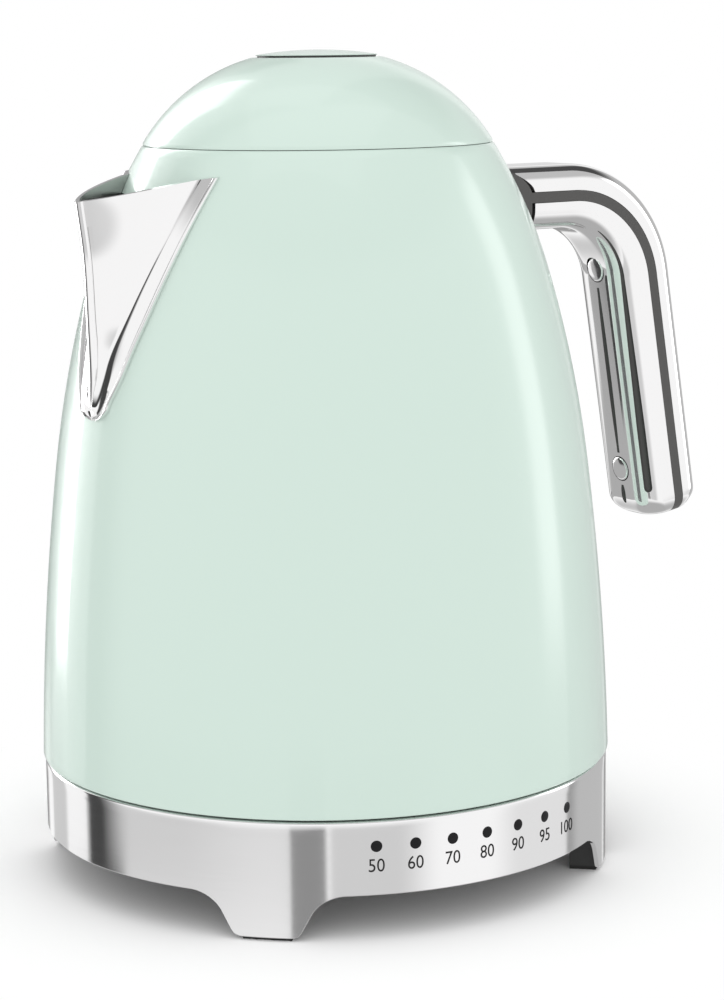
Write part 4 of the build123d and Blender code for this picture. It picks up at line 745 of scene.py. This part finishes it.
def spout_half(height):
    """Half of the spout's section at a height, in distances outwards and sideways.

    The first list runs from the nose to the flange's edge, and the second lies inside it.
    """
    wall = wall_radius(height) + spout_gap
    edge_turn = math.asin(tulip_half(height) / wall)
    reach, nose, flange, rise, fold_wide, bulge = along_stations(spout_stations, height)
    lift = min(1.0, math.sqrt(max(height - spout_low, 0.0) / lift_run)) * rise
    share = (1.0 + ((flange + 2.0) / max(edge_turn * wall, 0.01)) ** 4) ** -0.25

    def on_wall(inwards, up):
        turn = max(edge_turn - inwards * share / wall, 0.0)
        return ((wall + up) * math.cos(turn), (wall + up) * math.sin(turn))

    fold = on_wall(flange, lift * fold_lift)
    centre = (reach - nose, 0.0)
    span = math.hypot(fold[0] - centre[0], fold[1])
    tangent = math.atan2(fold[1], fold[0] - centre[0]) - math.acos(min(nose / span, 1.0))
    tangent -= math.radians(bulge)

    def on_nose(radius):
        turns = [tangent * step / nose_steps for step in range(nose_steps + 1)]
        return [(centre[0] + radius * math.cos(turn), radius * math.sin(turn)) for turn in turns]

    outside = on_nose(nose)

    # A fine rib parts the nose from the bowed wall.
    nose_end = outside[-1]
    wall_end = between(nose_end, fold, 1.0 - min(0.3, 0.9 / span))
    half_run = math.dist(nose_end, wall_end) / 2
    rib = (math.cos(tangent), math.sin(tangent))
    bow = (nose_end[0] - rib[1] * half_run, nose_end[1] + rib[0] * half_run)
    rib_foot = min(rib_most, half_run / 6)
    rib_out, rib_side = rib[0] * rib_foot, rib[1] * rib_foot
    outside.append((nose_end[0] - rib_side - rib_out, nose_end[1] + rib_out - rib_side))
    side_start = (nose_end[0] - rib_side * rib_reach, nose_end[1] + rib_out * rib_reach)
    outside.append(side_start)
    outside += curve_points(side_start, bow, wall_end, side_steps)
    wall_last = len(outside) - 1

    # The fold's crest, then the flange's hollow and the bead along its edge.
    fold_rise = max(math.degrees(edge_turn) - fold_flat, 0.0) / fold_steep * fold_wide
    crest = on_wall(flange - fold_wide, lift * fold_lift + fold_rise)
    crest_end = on_wall(flange - 1.5 * fold_wide, lift * crest_lift + fold_rise)
    outside += curve_points(wall_end, fold, between(fold, crest, 0.35), fold_steps)
    outside += curve_points(outside[-1], crest, crest_end, fold_steps)
    for bend_in, bend_up, end_in, end_up, count in (
        (3.0, 0.6, 1.9, 0.45, 6),
        (1.7, 0.42, 1.55, 0.35, 3),
        (1.45, 0.95, 0.75, 0.95, 5),
        (0.0, 0.95, 0.0, 0.0, 6),
    ):
        bend, end = on_wall(bend_in, lift * bend_up), on_wall(end_in, lift * end_up)
        outside += curve_points(outside[-1], bend, end, count)
    last = len(outside) - 1

    # The inside keeps the sheet's thickness along the wall and blends into the back of the flange.
    inner_nose = max(nose - spout_sheet, 0.2)
    inner_end = on_wall(flange + inner_lap, 0.0)
    inside = on_nose(inner_nose)
    for place in range(nose_steps + 1, wall_last + 1):
        before, here, after = outside[place - 1:place + 2]
        run = (after[0] - before[0], after[1] - before[1])
        thin = min(spout_sheet, nose - inner_nose) / math.hypot(*run)
        under = (here[0] - run[1] * thin, max(here[1] + run[0] * thin, 0.0))
        blend = max(place - wall_last + blend_steps, 0) / blend_steps
        inside.append(between(under, inner_end, blend))
    for place in range(wall_last + 1, last + 1):
        inside.append(on_wall((flange + inner_lap) * (last - place) / (last - wall_last), 0.0))
    return outside, inside


spout_tip, rim_rise, rim_low, rim_nose, rim_length = 202.3, 6.0, 180.0, 80.2, 24.0
foot_start, foot_run, foot_rows, body_rows = 0.04, 7.0, 20, 80
foot_low = spout_low + foot_start
body_low = foot_low + foot_run
spout_heights = [foot_low + foot_run * (step / foot_rows) ** 1.8 for step in range(foot_rows)]
for step in range(body_rows + 1):
    spout_heights.append(body_low + (spout_tip - body_low) * step / body_rows)
spout_points = []
for height in spout_heights:
    outside, inside = spout_half(height)
    right_half = outside + inside[::-1]
    loop = right_half + [(out, -side) for out, side in right_half[-2:0:-1]]
    near_rim = max((height - rim_low) / (spout_tip - rim_low), 0.0) ** 2
    for out, side in loop:
        back = (rim_nose - out) / rim_length
        level = height + rim_rise * near_rim * back
        leaning = (wall_radius(height) - wall_radius(level)) * min(back, 1.0)
        drawn_in = math.hypot(out, side) - leaning
        spout_points.append((-math.sqrt(drawn_in**2 - side**2), -side, level))
spout_loop, half_loop = len(loop), len(outside)
spout_faces = [tuple(range(spout_loop))] + tube_faces(len(spout_heights), spout_loop)
top = (len(spout_heights) - 1) * spout_loop
for index in range(half_loop - 1):
    rim = (index, index + 1, 2 * half_loop - 2 - index, 2 * half_loop - 1 - index)
    spout_faces.append(tuple(top + place for place in rim))
    spout_faces.append(tuple(top + (spout_loop - place) % spout_loop for place in rim))
spout = add_piece("spout_sheet", spout_points, spout_faces, chrome)
bare_inside(spout, facing=0.0, low=150.0)
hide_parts("spout")
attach(spout, "jug")

# Gauge: a clear moulded window under the handle, held in a grey silicone gasket. The plastic is
# faintly smoked and the silicone is matt. The seals of the probe and the lid are made of it too.
clear_window, wire = start_finish("clear_window")
end_finish(wire, {
    "Base Color": mix_colours(wire, noise(wire, 20.0), (0.78, 0.82, 0.82), (0.86, 0.90, 0.90)),
    "Roughness": 0.04 + noise(wire, 200.0) * 0.05,
    "Transmission Weight": 0.85,
    "IOR": 1.49,
})
paint(clear_window, "gauge_window")
grey_silicone, wire = start_finish("grey_silicone")
end_finish(wire, {
    "Base Color": mix_colours(wire, noise(wire, 70.0), (0.27, 0.27, 0.265), (0.34, 0.34, 0.335)),
    "Roughness": 0.6 + noise(wire, 900.0) * 0.15,
})
paint(grey_silicone, "gauge_gasket", "probe_seal", "lid_seal")

# Heater: a cast aluminium plate under the jug's floor, grey and open-grained.
# It is brazed to the floor and carries the element and the cut-out control.
cast_aluminium, wire = start_finish("cast_aluminium")
casting = noise(wire, 350.0, 5.0)
end_finish(wire, {
    "Base Color": mix_colours(wire, casting, (0.48, 0.48, 0.49), (0.62, 0.62, 0.63)),
    "Metallic": 1.0,
    "Roughness": 0.42 + casting * 0.2,
    "Normal": relief(wire, casting, 0.03 * MM),
})
paint(cast_aluminium, "heat_plate")

# Handle core, neck collar, filter frame, hinge block, lid liner and latch: moulded in dark grey
# plastic with a satin face. The core shows as a strip between the handle's two shells and as a
# collar against the jug. The same finish lines the hollows in the handle's chrome inner half, and
# there it is painted shade.
dark_plastic_and_painted_shade, wire = start_finish("dark_grey_plastic")
satin = noise(wire, 1800.0, 1.0)
end_finish(wire, {
    "Base Color": mix_colours(wire, noise(wire, 28.0), (0.062, 0.06, 0.058), (0.08, 0.077, 0.075)),
    "Roughness": 0.40 + satin * 0.12,
    "Normal": relief(wire, satin, 0.012 * MM),
})
paint(dark_plastic_and_painted_shade, "handle_core", "neck_collar", "filter_frame")
paint(dark_plastic_and_painted_shade, "hinge_block", "lid_liner", "lid_latch")

# Handle shells: two chromed halves of a hook that is open at its lower end, on each side of the
# strip, held by screws through the inner half. Their long edges are well rounded. The inner half
# has a hollow along each side and a fine one between its screws, whose faces are given the dark
# plastic finish as painted shade.
handle_level, handle_corner, handle_lean = 197.5, 113.52, math.radians(9.2)
handle_root, handle_length, handle_half = 71.2, 105.8, 11.8
edge_soft, end_soft, shell_gap = 6.5, 7.5, 1.75
outer_depth, top_depth, grip_depth = 9.7, 10.2, 13.2
strip_bend, inner_bend = 31.0, 20.0
top_steps, bend_steps, grip_steps = 24, 36, 64
grip_out = (math.cos(handle_lean), math.sin(handle_lean))
grip_way = (math.sin(handle_lean), -math.cos(handle_lean))


def grip_point(along, deep):
    """Point of the grip, by its distance down from the hook's corner and out from the strip."""
    corner = (handle_corner, handle_level)
    return tuple(c + w * along + o * deep for c, w, o in zip(corner, grip_way, grip_out))


strip_run = strip_bend * math.tan(math.pi / 4 - handle_lean / 2)
strip_centre = (handle_corner - strip_run, handle_level - strip_bend)
inner_level = handle_level - top_depth - inner_bend
inner_corner = grip_point(0.0, -grip_depth)
inner_out = (-inner_bend - (inner_level - inner_corner[1]) * grip_out[1]) / grip_out[0]
inner_centre = (inner_corner[0] + inner_out, inner_level)


def hook_line(centre, bend, deep):
    """List points along the hook at a depth from the strip: its top run, its bend and its grip."""
    top, run = centre[1] + bend, centre[0] - handle_root
    points = [(handle_root + run * step / top_steps, top) for step in range(top_steps)]
    points += arc_points(centre, bend, 90.0, math.degrees(handle_lean), bend_steps)[:-1]
    start = (centre[0] + bend * grip_out[0], centre[1] + bend * grip_out[1])
    end = grip_point(handle_length, deep)
    for step in range(grip_steps + 1):
        points.append(between(start, end, 1 - (1 - step / grip_steps) ** 1.7))
    return points


strip_line = hook_line(strip_centre, strip_bend, 0.0)


def softened(full, radius, left):
    """Reach of a rounded end, at a distance left to the end."""
    if left >= radius:
        return full
    return full - radius + math.sqrt(max(radius**2 - (radius - left) ** 2, 0.0))


def handle_shell(name, face_line, trim):
    """Sweep one half of the handle between the strip and a face, with two well rounded edges."""
    least_depth, least_half, corner_steps, face_steps = 0.02, 0.4, 12, 4
    points = []
    for index, (place, face) in enumerate(zip(strip_line, face_line)):
        full = math.dist(place, face)
        out = tuple((f - p) / full for p, f in zip(place, face))
        left = math.dist(place, strip_line[-1]) if index > top_steps + bend_steps else math.inf
        depth = softened(full, end_soft, left)
        half = softened(handle_half, edge_soft, left)
        soft = min(edge_soft, depth - shell_gap - least_depth, half - least_half)
        section = [(shell_gap, half)]
        section += arc_points((depth - soft, half - soft), soft, 90.0, 0.0, corner_steps)
        for step in range(1, face_steps + 1):
            section.append((depth, (half - soft) * (1 - step / face_steps)))
        section += [(deep, -side) for deep, side in reversed(section[:-1])]
        drawn = max(1 - index / top_steps, 0.0)
        for deep, side in section:
            share = max((deep - shell_gap) / (outer_depth - shell_gap), 0.0) ** 1.6
            back = trim * share * drawn
            points.append((place[0] + out[0] * deep - back, side, place[1] + out[1] * deep))
    loop = len(section)
    rows = len(points) // loop
    faces = [tuple(range(loop)), tuple(range((rows - 1) * loop, rows * loop))]
    return add_piece(name, points, faces + tube_faces(rows, loop), chrome)


def rod(line, side, radii, around=16):
    """Make the points and faces of a round rod along a line in or beside the handle's plane."""
    points = []
    path = [Vector((x, side, z)) for x, z in line]
    rows = len(path)
    for index, place in enumerate(path):
        way = (path[min(index + 1, rows - 1)] - path[max(index - 1, 0)]).normalized()
        level = way.cross(Vector((0.0, 1.0, 0.0))).normalized()
        upright = way.cross(level)
        for step in range(around):
            turn = math.tau * step / around
            spoke = level * math.cos(turn) + upright * math.sin(turn)
            points.append(place + spoke * radii[index])
    faces = [tuple(range(around)), tuple(range((rows - 1) * around, rows * around))]
    return points, faces + tube_faces(rows, around)


root_trim = 11.4
outer_line = hook_line(strip_centre, strip_bend + outer_depth, outer_depth)
outer_shell = handle_shell("handle_outer_half", outer_line, root_trim)
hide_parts("handle_outer_shell")
inner_line = hook_line(inner_centre, inner_bend, -grip_depth)
inner_shell = handle_shell("handle_inner_half", inner_line, 0.0)

hollow_deep, hollow_wide, hollow_tip = 2.3, 1.35, 0.12
hollow_first, hollow_short, hollow_steps = 38, 11.0, 30
hollow_side = handle_half - edge_soft + math.sqrt(edge_soft**2 - (edge_soft - hollow_deep) ** 2)
hollow_path, hollow_radii = [], []
for index in range(hollow_first, top_steps + bend_steps):
    face, strip = inner_line[index], strip_line[index]
    hollow_path.append(between(face, strip, hollow_deep / math.dist(face, strip)))
hollow_end = grip_point(handle_length - hollow_short, hollow_deep - grip_depth)
hollow_bend = hollow_path[-1]
for step in range(1, hollow_steps + 1):
    hollow_path.append(between(hollow_bend, hollow_end, step / hollow_steps))
for place in hollow_path:
    share = math.dist(place, hollow_path[0]) / math.dist(hollow_end, hollow_path[0])
    swell = min(1.0, 1.3 * share) ** 0.7
    hollow_radii.append(hollow_tip + (hollow_wide - hollow_tip) * swell)
for share in (0.5, 0.8, 0.95):
    hollow_path.append(tuple(h + w * hollow_wide * share for h, w in zip(hollow_end, grip_way)))
    hollow_radii.append(hollow_wide * math.sqrt(1 - share**2))
# The faces of each side hollow take the dark plastic finish: painted shade in the chrome.
for side in (-1, 1):
    hollow = rod(hollow_path, side * hollow_side, hollow_radii)
    cut(inner_shell, "grip_hollow", *hollow, dark_plastic_and_painted_shade)

groove_tip, groove_swell, groove_off, groove_steps = 0.3, 0.75, 0.15, 20
for start, end in ((28.8, 83.5), (94.4, 101.0)):
    groove, widths = [], []
    for step in range(groove_steps + 1):
        along = start + (end - start) * step / groove_steps
        groove.append(grip_point(along, -grip_depth - groove_off))
        swell = math.sin(math.pi * min(max(step, 1), groove_steps - 1) / groove_steps) ** 0.5
        widths.append(groove_tip + groove_swell * swell)
    # The fine hollow's faces take the dark plastic finish too: painted shade in the chrome.
    cut(inner_shell, "face_hollow", *rod(groove, 0.0, widths), dark_plastic_and_painted_shade)

plug_places, plug_radius, plug_corners = (22.9, 88.9), 3.8, 48
seat_deep, seat_clear, seat_gap = 2.2, 3.0, 0.35
for along in plug_places:
    seat = [grip_point(along, deep) for deep in (-grip_depth + seat_deep, -grip_depth - seat_clear)]
    cut(inner_shell, "plug_hole", *rod(seat, 0.0, (plug_radius + seat_gap,) * 2, plug_corners))
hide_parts("handle_inner_shell")
for shell in (outer_shell, inner_shell):
    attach(shell, "jug")

# Handle plugs: two round chromed caps pressed over the screws in the grip's inner face.
# Each is slightly domed and stands just above the face, with a fine gap round it.
plug_dome, plug_proud = 0.25, 0.1
plug_levels = (
    (-2.0, plug_radius), (0.0, plug_radius), (0.08, plug_radius - 0.06), (0.17, plug_radius - 0.22),
    (0.215, plug_radius - 0.45), (0.23, plug_radius - 0.7), (plug_dome, plug_radius * 0.3),
    (plug_dome, 0.02),
)
plug_radii = [radius for rise, radius in plug_levels]
plug_points, plug_faces = [], []
for along in plug_places:
    line = [grip_point(along, -grip_depth - plug_proud - rise) for rise, radius in plug_levels]
    cap_points, cap_faces = rod(line, 0.0, plug_radii, plug_corners)
    plug_faces += [tuple(len(plug_points) + corner for corner in face) for face in cap_faces]
    plug_points += cap_points
plugs = add_piece("handle_plug_caps", plug_points, plug_faces, chrome)
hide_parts("handle_plugs")
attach(plugs, "jug")

# Lid shell: a dome pressed from steel sheet and enamelled like the jug, with a collar turned down
# round the button. Its edge meets the jug in a thin seam, and a slot at its back lets the hinge arm
# through.
seam_radius, seam_break, seam_wide, lid_low, lid_sheet = 51.7, 0.35, 1.3, 216.3, 1.0
dome_radius, dome_lean, dome_rows, inner_rows = 55.0, 30.85, 60, 20
hole_radius, hem_round, hem_out, hem_rise, hem_drop = 18.7, 0.6, 0.25, 0.02, 0.3
collar_deep, collar_start = 9.0, 2.0
dome_out = seam_radius - dome_radius * math.cos(math.radians(dome_lean))
dome_centre = (dome_out, lid_low - dome_radius * math.sin(math.radians(dome_lean)))
hole_turn = math.degrees(math.acos((hole_radius + hem_round - dome_out) / dome_radius))
dome_inside = arc_points(dome_centre, dome_radius - lid_sheet, hole_turn, dome_lean, inner_rows)
lid_profile = [(seam_radius - seam_break, lid_low)]
lid_profile += arc_points(dome_centre, dome_radius, dome_lean, hole_turn, dome_rows)[1:]
hem_level = lid_profile[-1][1]
lid_profile += [(hole_radius + hem_out, hem_level + hem_rise), (hole_radius, hem_level - hem_drop)]
lid_profile += [(hole_radius, hem_level - collar_deep)]
lid_profile += [(hole_radius + lid_sheet, hem_level - deep) for deep in (collar_deep, collar_start)]
lid_profile += dome_inside[1:-1]
lid_profile += [(seam_radius - seam_wide, lid_low)]
lid = lathe("lid_dome", lid_profile, mint_enamel)
slot_half, slot_low, slot_high = 2.95, 216.0, 220.6
slot_outline = [(-slot_half, slot_low), (slot_half, slot_low)]
slot_outline += [(slot_half, slot_high), (-slot_half, slot_high)]
cut(lid, "arm_slot", *cross_prism(slot_outline, near=44.0, far=60.0))
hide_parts("lid_shell")
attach(lid, "lid")

# Lid button: an enamelled cap in the middle of the dome, gently crowned, on a dark moulded stem.
# The stem's neck shows as a fine dark line under the cap. It slides in the dome's collar and draws
# the latch back.
cap_radius, cap_top, cap_crown, cap_break = 17.9, 243.25, 1.45, 0.12
cap_drop, cap_taper, cap_rows, cap_columns = 0.06, 0.08, 30, 240
neck_radius, neck_top, stem_radius, stem_top = 17.4, 241.62, 18.3, 240.85
skirt_low, skirt_inside, roof_under, post_radius, post_low = 233.3, 16.5, 239.45, 5.0, 215.85
crown_radius = (cap_radius**2 + cap_crown**2) / (2 * cap_crown)
cap_profile = [(0.0, cap_top)]
for step in range(1, cap_rows + 1):
    radius = (cap_radius - cap_break) * step / cap_rows
    cap_profile.append((radius, cap_top - crown_radius + math.sqrt(crown_radius**2 - radius**2)))
cap_profile += [(cap_radius, cap_top - cap_crown - cap_drop), (cap_radius - cap_taper, neck_top)]
cap_profile += [(neck_radius, neck_top), (neck_radius, stem_top), (stem_radius, stem_top)]
cap_profile += [(stem_radius, skirt_low), (skirt_inside, skirt_low), (skirt_inside, roof_under)]
cap_profile += [(post_radius, roof_under), (post_radius, post_low), (0.0, post_low)]
button = lathe("lid_button_cap", cap_profile, mint_enamel, cap_columns)
button.data.materials.append(dark_plastic_and_painted_shade)
for face in button.data.polygons:
    if face.center.z < (neck_top + 0.01) * MM:
        face.material_index = 1
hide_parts("lid_button")
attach(button, "lid_button")
